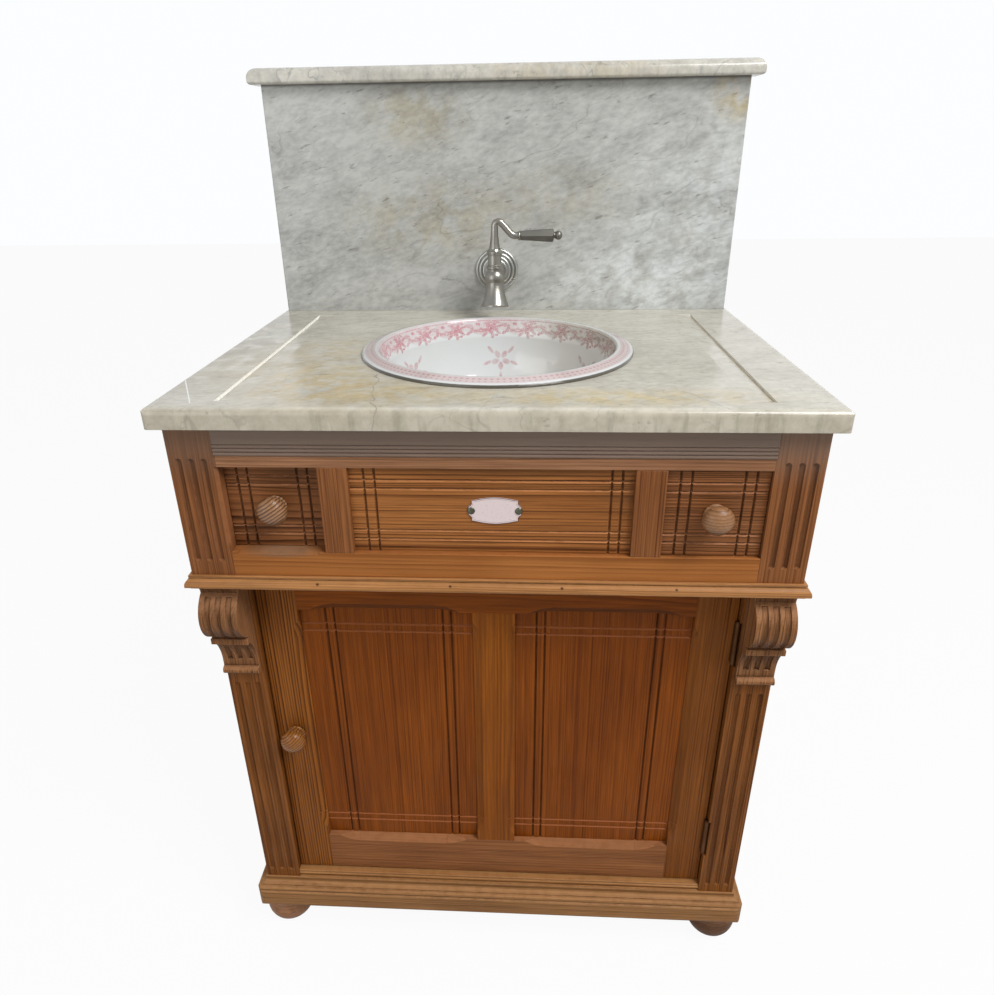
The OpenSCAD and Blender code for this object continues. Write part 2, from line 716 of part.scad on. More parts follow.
module lower_pilaster(side) {
    on_side(side) difference() {
        board([base_pilaster_x, case_x], [base_set, base_back], [deck_z, waist_z0]);
        for (x = flute_x) flute(pilaster_x + x + 0.5, base_set, deck_z + 24, waist_z0 - 168);
    }
}
module lower_pilaster_left() color([0.52, 0.29, 0.12]) {
    difference() {
        lower_pilaster(-1);
        // Dimple that the catch's ball springs into
        translate([-base_pilaster_x, back(door_set + door_t / 2), lock_knob_z]) sphere(r = 3);
    }
}
module lower_pilaster_right() color([0.52, 0.29, 0.12]) {
    difference() {
        lower_pilaster(1);
        for (z = hinge_z) {
            board([base_pilaster_x - 1, base_pilaster_x + 3], [base_set - 1, door_set],
                [z - 2, z + hinge_l + 2.2]);
            board([base_pilaster_x - 1, base_pilaster_x + hinge_leaf_t], [door_set - 1, hinge_leaf_set],
                [z, z + hinge_l]);
        }
    }
}

// ---- Plinth and feet ----

// Edge of the plinth from its top down, as (how far it stands out, z)
plinth_edge = concat(
    [[0, plinth_z1], [2.5, plinth_z1], [2.5, plinth_z1 - 2.5]],
    arc(8.5, plinth_z1 - 3, 6, 180, 270, 5),
    [[8.5, plinth_z1 - 10.2]],
    arc(10.4, plinth_z1 - 13.6, 3.4, 90, -50, 6),
    [[12.6, plinth_z1 - 17], [plinth_proud, plinth_z1 - 18.2]],
    arc(plinth_proud - 9, plinth_z0 + 9, 9, 0, -75, 5),
    [[plinth_proud - 7, plinth_z0]]);

module plinth_front() color([0.66, 0.38, 0.14]) {
    side_edge = [for (p = plinth_edge) [case_x + p[0], p[1]]];
    difference() {
        intersection() {
            along_x(-case_x - plinth_proud, case_x + plinth_proud)
                polygon(concat([for (p = plinth_edge) [base_set - p[0], p[1]]],
                    [[base_set + 30, plinth_z0], [base_set + 30, plinth_z1]]));
            along_y(base_set - plinth_proud, base_set + 30)
                polygon(concat(side_edge,
                    [for (i = [len(side_edge) - 1:-1:0]) [-side_edge[i][0], side_edge[i][1]]]));
            translate([0, base_set - plinth_proud, plinth_z0]) linear_extrude(plinth_h)
                eased_plan(2 * (case_x + plinth_proud), 200, 12);
        }
        board([-case_x, case_x], [base_set, base_set + 31], [deck_z, plinth_z1 + 1]);
    }
}

module plinth_returns() color([0.62, 0.36, 0.14]) {
    for (s = [-1, 1]) on_side(s) along_y(base_set + 30, back_set)
        polygon(concat([[case_x, deck_z], [plinth_in, deck_z], [plinth_in, plinth_z0]],
            [for (i = [len(plinth_edge) - 1:-1:0]) [case_x + plinth_edge[i][0], plinth_edge[i][1]]]));
}

module plinth_back() color([0.60, 0.37, 0.17]) {
    board([-plinth_in, plinth_in], [back_set - plinth_back_t, back_set], [plinth_z0, deck_z]);
}

module corner_blocks() color([0.66, 0.44, 0.22]) {
    for (s = [-1, 1]) on_side(s) {
        board([plinth_in - block, plinth_in], [base_set + 30, base_set + 30 + block], [plinth_z0, deck_z]);
        board([plinth_in - block, plinth_in], [back_set - plinth_back_t - block, back_set - plinth_back_t],
            [plinth_z0, deck_z]);
    }
}

// Turned bun foot
module bun_foot() {
    rotate_extrude()
        polygon(concat([[0, 0], [18, 0]], oval(0, foot_h / 2 - 3, 36, 33, -58, 62, 16),
            [[19, foot_h - 6], [26, foot_h - 4], [26, foot_h], [0, foot_h]]));
}
module foot_pair(set) {
    for (s = [-1, 1]) translate([s * foot_x, back(set), 0]) bun_foot();
}
module front_feet() color([0.60, 0.34, 0.13]) foot_pair(base_set - plinth_proud + foot_inset);
module rear_feet() color([0.60, 0.34, 0.13]) foot_pair(back_set - foot_inset);

// ---- Door ----

// Chamfer along +Z on the edge at the origin, its wood towards +X and +Y, ending in scoops
// that leave a fine step where they meet the flat
module stopped_chamfer(l) {
    slope = atan2(chamfer_depth, chamfer_w);
    drop = chamfer_w * sin(slope);
    scoop_r = (chamfer_run * chamfer_run + drop * drop) / (2 * drop);
    step = 0.4;
    translate([0, 0, chamfer_run]) linear_extrude(l - 2 * chamfer_run)
        polygon([[-1, -1], [chamfer_w + 1, -1], [chamfer_w, 0], [0, chamfer_depth], [-1, chamfer_depth]]);
    for (end = [[chamfer_run, -chamfer_run - 1], [l - chamfer_run, -1]])
        intersection() {
            translate([chamfer_w / 2, chamfer_depth / 2, end[0]]) rotate([0, 0, -slope])
                translate([-12, -scoop_r - step, 0]) rotate([0, 90, 0])
                    cylinder(r = scoop_r, h = 24, $fn = 96);
            translate([-1, -20, end[0] + end[1]]) cube([chamfer_w + 3, 30, chamfer_run + 2]);
        }
}
// The same on an upright edge at x, whose wood lies towards the given side
module chamfer_up(x, side, z0, z1) {
    translate([x, back(door_set), z0]) on_side(side) stopped_chamfer(z1 - z0);
}
// The same on a level edge at z, whose wood lies above (1) or below (-1)
module chamfer_level(x0, x1, z, side) {
    translate([x0, back(door_set), z]) mirror([0, 0, side > 0 ? 0 : 1])
        rotate([0, -90, 180]) mirror([0, 1, 0]) stopped_chamfer(x1 - x0);
}

// Groove that a panel's tongue sits in, between two values of x and of z
module panel_groove(x, z) {
    board(x, [tongue_set, tongue_set + tongue_t], z);
}

module stile(side) {
    on_side(side) difference() {
        board([stile_in, door_x], [door_set, door_set + door_t], [door_z0, door_z1]);
        panel_groove([stile_in - 1, stile_in + tongue], [door_rail_z0 - tongue, door_rail_z1 + tongue]);
        chamfer_up(stile_in, 1, door_rail_z0 + 12, door_rail_z1 - 12);
    }
}

module hinge_stile() color([0.60, 0.34, 0.13]) {
    difference() {
        stile(1);
        for (z = hinge_z)
            board([door_x - hinge_leaf_t, door_x + 1], [door_set - 1, hinge_leaf_set], [z, z + hinge_l]);
    }
}

module lock_stile() color([0.60, 0.34, 0.13]) {
    difference() {
        stile(-1);
        turned_out(-stile_in - stile_w / 2, door_set + knob_spigot_l, lock_knob_z)
            square([knob_spigot_r + 0.05, knob_spigot_l + 1]);
        translate([-door_x - 1, back(door_set + door_t / 2), lock_knob_z]) rotate([0, 90, 0])
            cylinder(r = 4.05, h = 13);
    }
}

module door_top_rail() color([0.60, 0.34, 0.13]) {
    difference() {
        board([-stile_in, stile_in], [door_set, door_set + door_t], [door_rail_z1, door_z1]);
        for (s = [-1, 1]) on_side(s) {
            panel_groove([muntin_x - tongue, stile_in + 1], [door_rail_z1 - 1, door_rail_z1 + tongue]);
            chamfer_level(muntin_x + 14, stile_in - 14, door_rail_z1, 1);
        }
    }
}

module door_bottom_rail() color([0.60, 0.34, 0.13]) {
    difference() {
        board([-stile_in, stile_in], [door_set, door_set + door_t], [door_z0, door_rail_z0]);
        for (s = [-1, 1]) on_side(s) {
            panel_groove([muntin_x - tongue, stile_in + 1], [door_rail_z0 - tongue, door_rail_z0 + 1]);
            chamfer_level(muntin_x + 14, stile_in - 14, door_rail_z0, -1);
        }
    }
}

module door_muntin() color([0.64, 0.37, 0.14]) {
    difference() {
        board([-muntin_x, muntin_x], [door_set, door_set + door_t], [door_rail_z0, door_rail_z1]);
        for (s = [-1, 1]) on_side(s) {
            panel_groove([muntin_x - tongue, muntin_x + 1], [door_rail_z0 - 1, door_rail_z1 + 1]);
            chamfer_up(muntin_x, -1, door_rail_z0 + 12, door_rail_z1 - 12);
        }
    }
}

// Flat panel with a tongue all round and crossing pairs of ruled lines
module door_panel(side) {
    mid_x = (muntin_x + stile_in) / 2 - 3;
    on_side(side) difference() {
        union() {
            board([muntin_x, stile_in], [panel_set, panel_set + panel_t], [door_rail_z0, door_rail_z1]);
            board([muntin_x - tongue, stile_in + tongue], [tongue_set, tongue_set + tongue_t],
                [door_rail_z0 - tongue, door_rail_z1 + tongue]);
        }
        for (s = [-1, 1]) for (x = [67.3, 77.7])
            rule_up(mid_x + s * x, panel_set, door_rail_z0, door_rail_z1);
        for (z = [door_rail_z0 + 25, door_rail_z0 + 36, door_rail_z1 - 24.5, door_rail_z1 - 35.5])
            rule_level(muntin_x, stile_in, panel_set, z);
    }
}
module door_panel_left() color([0.62, 0.34, 0.13]) door_panel(-1);
module door_panel_right() color([0.62, 0.34, 0.13]) door_panel(1);

// Turned knob, its base on the face at the given setback
module knob(x, set, z) {
    r = knob_d / 2;
    turned_out(x, set, z)
        polygon(concat([[0, 0.5 - knob_spigot_l], [knob_spigot_r, 0.5 - knob_spigot_l],
                [knob_spigot_r, 0], [10.5, 0]],
            arc(10.5, 1.8, 1.8, -90, 90, 5), [[8, 5], [7.5, 7.5]],
            oval(r - 3.5, 12, r - 11, 4, 180, 105, 5),
            arc(r - 2.5, 15.5, 2.5, -60, 0, 4),
            oval(0, 16, r, knob_l - 16, 0, 90, 14)));
}
module door_knob() color([0.66, 0.40, 0.17]) knob(-stile_in - stile_w / 2, door_set, lock_knob_z);

// Ball catch let into the edge of the lock stile
module door_catch() color([0.75, 0.62, 0.35]) {
    translate([-door_x, back(door_set + door_t / 2), lock_knob_z]) rotate([0, 90, 0]) {
        cylinder(r = 4, h = 11.5);
        translate([0, 0, 2]) sphere(r = 3);
    }
}

// A butt hinge's barrel between two heights, with its bore
module barrel(z0, z1) {
    translate([pin_x, back(pin_set), z0]) cylinder(r = knuckle_r, h = z1 - z0, $fn = 32);
}
module pin_bore(z0, z1) {
    translate([pin_x, back(pin_set), z0]) cylinder(r = hinge_pin_r + 0.06, h = z1 - z0, $fn = 32);
}
knuckle_l = hinge_l / 3;

module hinge_leaves_frame() color([0.18, 0.13, 0.10]) {
    for (z = hinge_z) difference() {
        union() {
            board([base_pilaster_x, base_pilaster_x + hinge_leaf_t], [door_set, hinge_leaf_set],
                [z, z + hinge_l]);
            for (k = [0, 2]) {
                barrel(z + k * knuckle_l, z + (k + 1) * knuckle_l);
                board([base_pilaster_x, base_pilaster_x + hinge_leaf_t], [pin_set, door_set],
                    [z + k * knuckle_l, z + (k + 1) * knuckle_l]);
            }
        }
        pin_bore(z - 1, z + hinge_l + 1);
    }
}

module hinge_leaves_door() color([0.18, 0.13, 0.10]) {
    for (z = hinge_z) difference() {
        union() {
            board([door_x - hinge_leaf_t, door_x], [door_set, hinge_leaf_set], [z, z + hinge_l]);
            barrel(z + knuckle_l + 0.2, z + 2 * knuckle_l - 0.2);
            board([door_x - hinge_leaf_t, door_x], [pin_set, door_set],
                [z + knuckle_l + 0.2, z + 2 * knuckle_l - 0.2]);
        }
        pin_bore(z - 1, z + hinge_l + 1);
    }
}

module hinge_pins() color([0.22, 0.17, 0.13]) {
    for (z = hinge_z) translate([pin_x, back(pin_set), z]) {
        cylinder(r = hinge_pin_r, h = hinge_l, $fn = 32);
        translate([0, 0, hinge_l]) cylinder(r = knuckle_r - 0.4, h = 1.6, $fn = 32);
    }
}

// ---- Drawers ----

drawer_x0 = opening_x0 + drawer_play;
drawer_x1 = pilaster_x - drawer_play;
drawer_mid_x = (opening_x0 + pilaster_x) / 2;
drawer_mid_z = (opening_z0 + opening_z1) / 2;
box_set = drawer_front_set + drawer_front_t;
box_x = [drawer_x0 + 1.5, drawer_x1 - 1.5];
box_z = [opening_z0 + 0.6, opening_z1 - 8];

module drawer_front(side) {
    on_side(side) difference() {
        board([drawer_x0, drawer_x1], [drawer_front_set, box_set],
            [opening_z0 + drawer_play, opening_z1 - drawer_play]);
        for (s = [-1, 1]) {
            for (x = [27, 38.5]) rule_up(drawer_mid_x + s * x, drawer_front_set, opening_z0, opening_z1);
            for (z = [25, 35]) rule_level(opening_x0, pilaster_x, drawer_front_set, drawer_mid_z + s * z);
        }
        turned_out(drawer_mid_x, drawer_front_set + knob_spigot_l, drawer_mid_z)
            square([knob_spigot_r + 0.05, knob_spigot_l + 1]);
    }
}
module drawer_left_front() color([0.62, 0.33, 0.12]) drawer_front(-1);
module drawer_right_front() color([0.62, 0.33, 0.12]) right_rest() drawer_front(1);

// Where the right drawer rests, pulled a little further out than the left one
module right_rest() {
    translate([0, -right_drawer_out, 0]) children();
}

// Two sides and a back in one box, with a groove for the bottom
module drawer_box(side) {
    on_side(side) difference() {
        board(box_x, [box_set, box_set + drawer_d], box_z);
        board([box_x[0] + drawer_side_t, box_x[1] - drawer_side_t],
            [box_set - 1, box_set + drawer_d - drawer_side_t], [box_z[0] - 1, box_z[1] + 1]);
        board([box_x[0] + drawer_side_t - 4, box_x[1] - drawer_side_t + 4],
            [box_set - 1, box_set + drawer_d - drawer_side_t],
            [box_z[0] + 6, box_z[0] + 6 + drawer_bottom_t]);
    }
}
module drawer_left_box() color([0.74, 0.54, 0.30]) drawer_box(-1);
module drawer_right_box() color([0.74, 0.54, 0.30]) right_rest() drawer_box(1);

module drawer_bottom(side) {
    on_side(side) board([box_x[0] + drawer_side_t - 4, box_x[1] - drawer_side_t + 4],
        [box_set, box_set + drawer_d - drawer_side_t], [box_z[0] + 6, box_z[0] + 6 + drawer_bottom_t]);
}
module drawer_left_bottom() color([0.76, 0.57, 0.33]) drawer_bottom(-1);
module drawer_right_bottom() color([0.76, 0.57, 0.33]) right_rest() drawer_bottom(1);

module drawer_knob(side) {
    knob(side * drawer_mid_x, drawer_front_set, drawer_mid_z);
}
module drawer_left_knob() color([0.66, 0.40, 0.18]) drawer_knob(-1);
module drawer_right_knob() color([0.66, 0.40, 0.18]) right_rest() drawer_knob(1);

marble_top();
splashback();
splash_shelf();
basin();
basin_waste();
waste_nut();
trap_body();
trap_outlet();
tap_flange();
tap_body();
tap_bonnet();
tap_lever();
lever_grip();
tap_backnut();
side_panel_left();
side_panel_right();
back_panel();
bottom_board();
drawer_runners();
upper_pilaster_left();
upper_pilaster_right();
frieze_moulding();
drawer_rail();
divider_left();
divider_right();
centre_panel();
frieze_lower_rail();
waist_front();
waist_returns();
corbel_left();
corbel_right();
lower_pilaster_left();
lower_pilaster_right();
plinth_front();
plinth_returns();
plinth_back();
corner_blocks();
front_feet();
rear_feet();
hinge_stile();
lock_stile();
door_top_rail();
door_bottom_rail();
door_muntin();
door_panel_left();
door_panel_right();
door_knob();
door_catch();
hinge_leaves_frame();
hinge_pins();
hinge_leaves_door();
drawer_left_front();
drawer_left_box();
drawer_left_bottom();
drawer_left_knob();
drawer_right_front();
drawer_right_box();
drawer_right_bottom();
drawer_right_knob();
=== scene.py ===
# %% [markdown]
# # A pine washstand with a marble top
#
# This lesson dresses a finished CAD model. The model gives every board, slab and fitting its
# shape and its place, and Blender gives it a surface: the grain of waxed pine, the veins of
# marble, the glaze of the bowl and the soft shine of the tap. The CAD pieces are only given
# materials and softened edges. A few small things that the CAD leaves out are modelled here.

# %% Load the model
import json
import math
import random

import bmesh
import bpy
from mathutils import Matrix, Vector


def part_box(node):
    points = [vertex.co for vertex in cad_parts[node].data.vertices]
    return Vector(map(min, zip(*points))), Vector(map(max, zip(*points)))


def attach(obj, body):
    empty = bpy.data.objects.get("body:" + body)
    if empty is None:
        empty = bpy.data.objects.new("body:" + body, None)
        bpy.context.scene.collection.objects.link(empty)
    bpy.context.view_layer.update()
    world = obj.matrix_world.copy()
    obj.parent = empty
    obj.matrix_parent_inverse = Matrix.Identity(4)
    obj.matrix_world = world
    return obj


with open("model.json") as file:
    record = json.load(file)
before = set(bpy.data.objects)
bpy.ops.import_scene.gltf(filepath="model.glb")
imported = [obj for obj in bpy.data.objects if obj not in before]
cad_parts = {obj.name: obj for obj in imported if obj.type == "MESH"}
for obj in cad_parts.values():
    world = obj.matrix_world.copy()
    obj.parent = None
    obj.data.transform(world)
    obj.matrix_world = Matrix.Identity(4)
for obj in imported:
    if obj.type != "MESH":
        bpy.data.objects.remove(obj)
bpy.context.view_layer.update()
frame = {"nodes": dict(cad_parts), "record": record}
nodes = frame["nodes"]
scene = bpy.context.scene
scene.view_settings.view_transform = "Standard"

# %% [markdown]
# ## The camera
#
# The photograph was taken from a little above the marble, by someone standing in front of the
# washstand. A camera matrix can be built from a direction of view: the view direction, a level
# sideways direction, and their cross product. A small roll turns the two about the first. This
# is easier to read and to adjust than three Euler angles.

# %% Place the camera
EYE = Vector((0.0344, -0.9294, 1.0948))
YAW, PITCH, ROLL = -0.05778, 0.42668, -0.01537
FOCAL_PIXELS, PHOTO_LONG_SIDE, SENSOR = 726.466, 995, 36
SHIFT_X, SHIFT_Y = 0.01203, -0.01773

ahead = Vector((math.sin(YAW) * math.cos(PITCH), math.cos(YAW) * math.cos(PITCH), -math.sin(PITCH)))
level = Vector((math.cos(YAW), -math.sin(YAW), 0))
upright = level.cross(ahead)
right = math.cos(ROLL) * level + math.sin(ROLL) * upright
up = math.cos(ROLL) * upright - math.sin(ROLL) * level

lens = bpy.data.cameras.new("camera")
lens.lens = FOCAL_PIXELS / PHOTO_LONG_SIDE * SENSOR
lens.shift_x, lens.shift_y = SHIFT_X, SHIFT_Y
camera = bpy.data.objects.new("camera", lens)
camera.matrix_world = Matrix.Translation(EYE) @ Matrix((right, up, -ahead)).transposed().to_4x4()
scene.collection.objects.link(camera)
scene.camera = camera
print(f"lens {lens.lens:.1f} mm")

# %% [markdown]
# ## Shader shorthand
#
# Every finish below is a small network of nodes. Written out in full, each node takes several
# lines, so one class holds a node tree and adds a node, sets it and wires it in one call. A
# socket passed as a value is linked, and anything else is written into the socket. A second
# class builds on it: it starts a material, and measures things that many finishes need, such as
# hollows, sharp edges and the direction that a surface faces.

# %% A class that wires nodes
class Wiring:
    """A node tree, with one short call for each kind of node."""

    def __init__(self, tree):
        self.tree = tree

    def put(self, socket, value):
        """Link a socket's value to a socket, or write a plain value into it."""
        if isinstance(value, bpy.types.NodeSocket):
            self.tree.links.new(value, socket)
        else:
            socket.default_value = value

    def node(self, kind, inputs=(), **settings):
        made = self.tree.nodes.new(kind)
        for key, value in settings.items():
            setattr(made, key, value)
        for key, value in dict(inputs).items():
            self.put(made.inputs[key], value)
        return made

    def math(self, operation, a, b=0.0, clamp=False):
        made = self.node("ShaderNodeMath", {0: a, 1: b}, operation=operation, use_clamp=clamp)
        return made.outputs[0]

    def vector(self, operation, a, b=(0, 0, 0)):
        made = self.node("ShaderNodeVectorMath", {0: a, 1: b}, operation=operation)
        return made.outputs["Value" if operation in ("LENGTH", "DOT_PRODUCT") else "Vector"]

    def split(self, vector):
        return self.node("ShaderNodeSeparateXYZ", {0: vector}).outputs

    def join(self, x, y, z):
        return self.node("ShaderNodeCombineXYZ", {0: x, 1: y, 2: z}).outputs[0]

    def stretch(self, vector, turn=(0, 0, 0), size=(1, 1, 1), start=(0, 0, 0)):
        """A pattern that starts at a point, is turned, and is drawn out by size along its axes."""
        made = self.node("ShaderNodeMapping", {"Vector": vector}, vector_type="TEXTURE")
        made.inputs["Location"].default_value = start
        made.inputs["Rotation"].default_value = [math.radians(a) for a in turn]
        made.inputs["Scale"].default_value = size
        return made.outputs[0]

    def noise(self, vector, scale, detail=2.0, rough=0.5, bend=0.0):
        inputs = {"Vector": vector, "Scale": scale, "Detail": detail, "Roughness": rough,
                  "Distortion": bend}
        return self.node("ShaderNodeTexNoise", inputs).outputs[0]

    def line_noise(self, w, scale):
        inputs = {"W": w, "Scale": scale, "Detail": 1.0}
        return self.node("ShaderNodeTexNoise", inputs, noise_dimensions="1D").outputs[0]

    def span(self, value, low, high, to_low=0.0, to_high=1.0):
        """Ease a value from one range to another, and stay inside it."""
        made = self.node("ShaderNodeMapRange", {0: value, 1: low, 2: high, 3: to_low, 4: to_high})
        made.interpolation_type = "SMOOTHSTEP"
        return made.outputs[0]

    def ramp(self, value, stops):
        made = self.node("ShaderNodeValToRGB", {0: value})
        points = made.color_ramp.elements
        while len(points) < len(stops):
            points.new(0.5)
        for point, (where, colour) in zip(points, stops):
            point.position = where
            point.color = (*colour, 1) if isinstance(colour, tuple) else (colour, colour, colour, 1)
        return made.outputs[0]

    def mix(self, amount, a, b, mode="MIX"):
        made = self.node("ShaderNodeMix", data_type="RGBA", blend_type=mode)
        for index, value in ((0, amount), (6, a), (7, b)):
            self.put(made.inputs[index], (*value, 1) if isinstance(value, tuple) else value)
        return made.outputs[2]


print("wiring ready")


# %% A class that starts a material
class Finish(Wiring):
    """A material of one shader, with measures of the surface that it covers."""

    def __init__(self, name):
        self.material = bpy.data.materials.new(name)
        self.material.use_nodes = True
        super().__init__(self.material.node_tree)
        self.tree.nodes.clear()
        self.surface = self.node("ShaderNodeBsdfPrincipled")
        self.node("ShaderNodeOutputMaterial", {0: self.surface.outputs[0]})
        self.place = self.node("ShaderNodeTexCoord").outputs["Object"]

    def near(self, centre, radii):
        """1 at a point and 0 outside an ellipsoid round it."""
        local = self.vector("SUBTRACT", self.place, centre)
        away = self.vector("LENGTH", self.vector("DIVIDE", local, radii))
        return self.span(away, 1.0, 0.2)

    def facing(self, axis):
        """How far the surface looks along one axis, from -1 to 1."""
        return self.split(self.node("ShaderNodeNewGeometry").outputs["Normal"])["XYZ".index(axis)]

    def scratch(self, start, end, width, waver):
        """1 along a thin wandering line on a level face, between two points (x, y)."""
        run, rise = end[0] - start[0], end[1] - start[1]
        length, turn = math.hypot(run, rise), math.degrees(math.atan2(rise, run))
        along, beside, _ = self.split(self.stretch(self.place, turn=(0, 0, turn), start=(*start, 0)))
        sway = self.math("SUBTRACT", self.noise(self.place, 45.0, 3), 0.5)
        gap = self.math("ABSOLUTE", self.math("ADD", beside, self.math("MULTIPLY", sway, waver)))
        within = self.math("MULTIPLY", self.math("GREATER_THAN", along, 0.0),
                           self.math("LESS_THAN", along, length))
        return self.math("MULTIPLY", self.span(gap, width, width * 0.3), within)

    def crevices(self, reach):
        """1 in the depth of a hollow narrower than reach, and 0 in the open."""
        made = self.node("ShaderNodeAmbientOcclusion", {"Distance": reach}, samples=6, only_local=True)
        return self.math("SUBTRACT", 1.0, made.outputs["AO"], clamp=True)

    def arrises(self, radius, gain):
        """The rounded normal of sharp edges, and how much it differs from the flat one."""
        rounded = self.node("ShaderNodeBevel", {"Radius": radius}, samples=4).outputs[0]
        flat = self.node("ShaderNodeNewGeometry").outputs["Normal"]
        same = self.vector("DOT_PRODUCT", rounded, flat)
        return rounded, self.math("MULTIPLY", self.math("SUBTRACT", 1.0, same), gain, clamp=True)

    def relief(self, height, depth, normal):
        """A bump of a given depth, laid over a normal."""
        inputs = {"Height": height, "Distance": depth, "Strength": 1.0, "Normal": normal}
        return self.node("ShaderNodeBump", inputs).outputs[0]

    def finish(self, **sockets):
        """Set the shader's sockets by name, with _ for a space, and hand back the material."""
        for name, value in sockets.items():
            socket = self.surface.inputs[name.replace("_", " ")]
            colour = isinstance(value, tuple) and len(value) == 3
            self.put(socket, (*value, 1) if colour else value)
        return self.material


def dress(name, material):
    """Give a CAD node one material."""
    nodes[name].data.materials.clear()
    nodes[name].data.materials.append(material)


print("shader shorthand ready")

# %% [markdown]
# ## Waxed pitch pine
#
# A board is a slice through the yearly rings of a tree. So the pattern is made the same way:
# rings round an axis that runs along the grain, somewhere outside the board, which the board's
# own faces cut. Near the axis a face shows broad arches, and far from it straight close lines.
# Noise that is drawn out along the grain bends the rings, and each ring is pale at first and
# dark at its end. Each tone below names the colour of this early wood and of this late wood.

# %% The tones of the pine
TONES = {
    "honey": ((0.350, 0.128, 0.032), (0.225, 0.074, 0.016)),
    "golden": ((0.370, 0.168, 0.056), (0.215, 0.086, 0.024)),
    "banded": ((0.325, 0.122, 0.033), (0.095, 0.029, 0.007)),
    "amber": ((0.245, 0.093, 0.031), (0.120, 0.038, 0.011)),
    "toffee": ((0.245, 0.092, 0.031), (0.042, 0.012, 0.003)),
    "russet": ((0.203, 0.050, 0.003), (0.110, 0.024, 0.001)),
    "chestnut": ((0.190, 0.059, 0.008), (0.074, 0.018, 0.001)),
    "ginger": ((0.245, 0.071, 0.006), (0.165, 0.043, 0.002)),
    # A grey brown whose greyness is a painted sheen
    "smoked": ((0.190, 0.122, 0.091), (0.118, 0.073, 0.053)),
    "worn": ((0.275, 0.123, 0.048), (0.096, 0.033, 0.010)),
    "rosy": ((0.300, 0.146, 0.074), (0.200, 0.085, 0.038)),
    "tawny": ((0.290, 0.138, 0.048), (0.125, 0.048, 0.013)),
    "oiled": ((0.305, 0.138, 0.042), (0.165, 0.062, 0.016)),
    "ribbed": ((0.252, 0.082, 0.012), (0.048, 0.010, 0.001)),
    "turned": ((0.315, 0.155, 0.068), (0.052, 0.016, 0.005)),
    "rubbed": ((0.310, 0.116, 0.023), (0.072, 0.023, 0.004)),
    "handled": ((0.192, 0.066, 0.013), (0.088, 0.024, 0.004)),
    "bare": ((0.560, 0.385, 0.205), (0.400, 0.235, 0.105)),
}
ORDINARY = {
    "pitch": 0.0026,        # width of one year's ring
    "heart": None,          # the tree's middle, across and into the board; None draws one
    "wobble": 0.012,        # how much the widths of the rings vary
    "even": 0.3,            # how dark the faintest year is beside the strongest
    "figure": 0.28,         # contrast of the fine streaks
    "tilt": 0.0,            # how many degrees the grain leans, seen from the front
    "ridge": 0.00012,       # how far the hard late wood stands up
    "dirt_and_shade": 0.7,            # strength of the dark wax and painted shade in hollows
    "reach": 0.008,         # widest hollow that holds wax and painted shade
    "deep": 1.0,            # how soon a hollow is full
    "worn": 0.6,            # paleness of rubbed arrises
    "lip": 0.8,             # painted highlight on what looks up
    "side_lip": 0.0,        # painted highlight on what looks right, as if lit from the right
    "dull": 0.0,            # how far a painted grey sheen covers the wax near the marble
    "gloss": (0.10, 0.42),  # specular level and roughness
    "shade_and_patches": (),          # dark places, most of them painted shade: centre, radii, tint and strength
    "nails": (),            # the places of filled nail holes
}
print(f"pine in {len(TONES)} tones")


# %% Rings, streaks and patches
def year_rings(wood, board, shift, way):
    """0 in early wood and 1 in late wood, in rings round the tree's middle."""
    slow = wood.noise(wood.stretch(board, size=(1, 1, 6), start=shift), 7.0, 2)
    quick = wood.noise(wood.stretch(board, size=(1, 1, 18), start=shift), 110.0, 2)
    bend = wood.math("ADD", wood.math("MULTIPLY", slow, 0.016), wood.math("MULTIPLY", quick, 0.0011))
    flat = wood.split(wood.vector("SUBTRACT", board, shift))
    away = wood.math("ADD", wood.vector("LENGTH", wood.join(flat[0], flat[1], 0.0)), bend)
    away = wood.math("ADD", away, wood.math("MULTIPLY", wood.line_noise(away, 70.0), way["wobble"]))
    rings = wood.math("DIVIDE", away, way["pitch"])
    number = {"W": wood.math("FLOOR", rings)}
    year = wood.node("ShaderNodeTexWhiteNoise", number, noise_dimensions="1D").outputs[0]
    growth = [(0.0, 0.0), (0.42, 0.12), (0.74, 0.75), (0.90, 1.0), (1.0, 0.0)]
    line = wood.ramp(wood.math("FRACT", rings), growth)
    return wood.math("MULTIPLY", line, wood.span(year, 0.0, 1.0, way["even"], 1.0))


def figured(wood, board, shift, grain, figure):
    """The grain with fine streaks and broad patches, and the streaks by themselves."""
    streak = wood.noise(wood.stretch(board, size=(1, 1, 40), start=shift), 420.0, 3, 0.6)
    contrast = wood.ramp(streak, [(0.3, 1 - figure), (0.7, 1 + figure)])
    patch = wood.noise(wood.stretch(board, size=(1, 1, 3), start=shift), 16.0, 2)
    tints = wood.ramp(patch, [(0.3, (0.84, 0.80, 0.76)), (0.7, (1.12, 1.14, 1.16))])
    return wood.mix(1.0, wood.mix(1.0, grain, contrast, "MULTIPLY"), tints, "MULTIPLY"), streak


print("rings and figure ready")

# %% [markdown]
# Wax darkens the hollows and hands wear the edges pale, so an occlusion node and a bevel node
# find those places; the darkening in the hollows is painted shade as well as wax. What looks up,
# such as the lower lips of the ruled lines, gets a painted highlight, and what looks down gets
# painted shade. Close under the marble, a painted grey sheen turns the wax a grey brown. All of
# these change one colour, each on top of the last.

# %% Wax, wear and the whole board
# Dark wax, also used as painted shade, and a painted grey sheen
WAX_DIRT_AND_SHADE, PAINTED_SHEEN = (0.040, 0.014, 0.005), (0.208, 0.157, 0.123)
SHEEN_FROM, SHEEN_TO = 0.770, 0.845
NAIL_RADII = (0.0026, 0.0026, 0.0026)


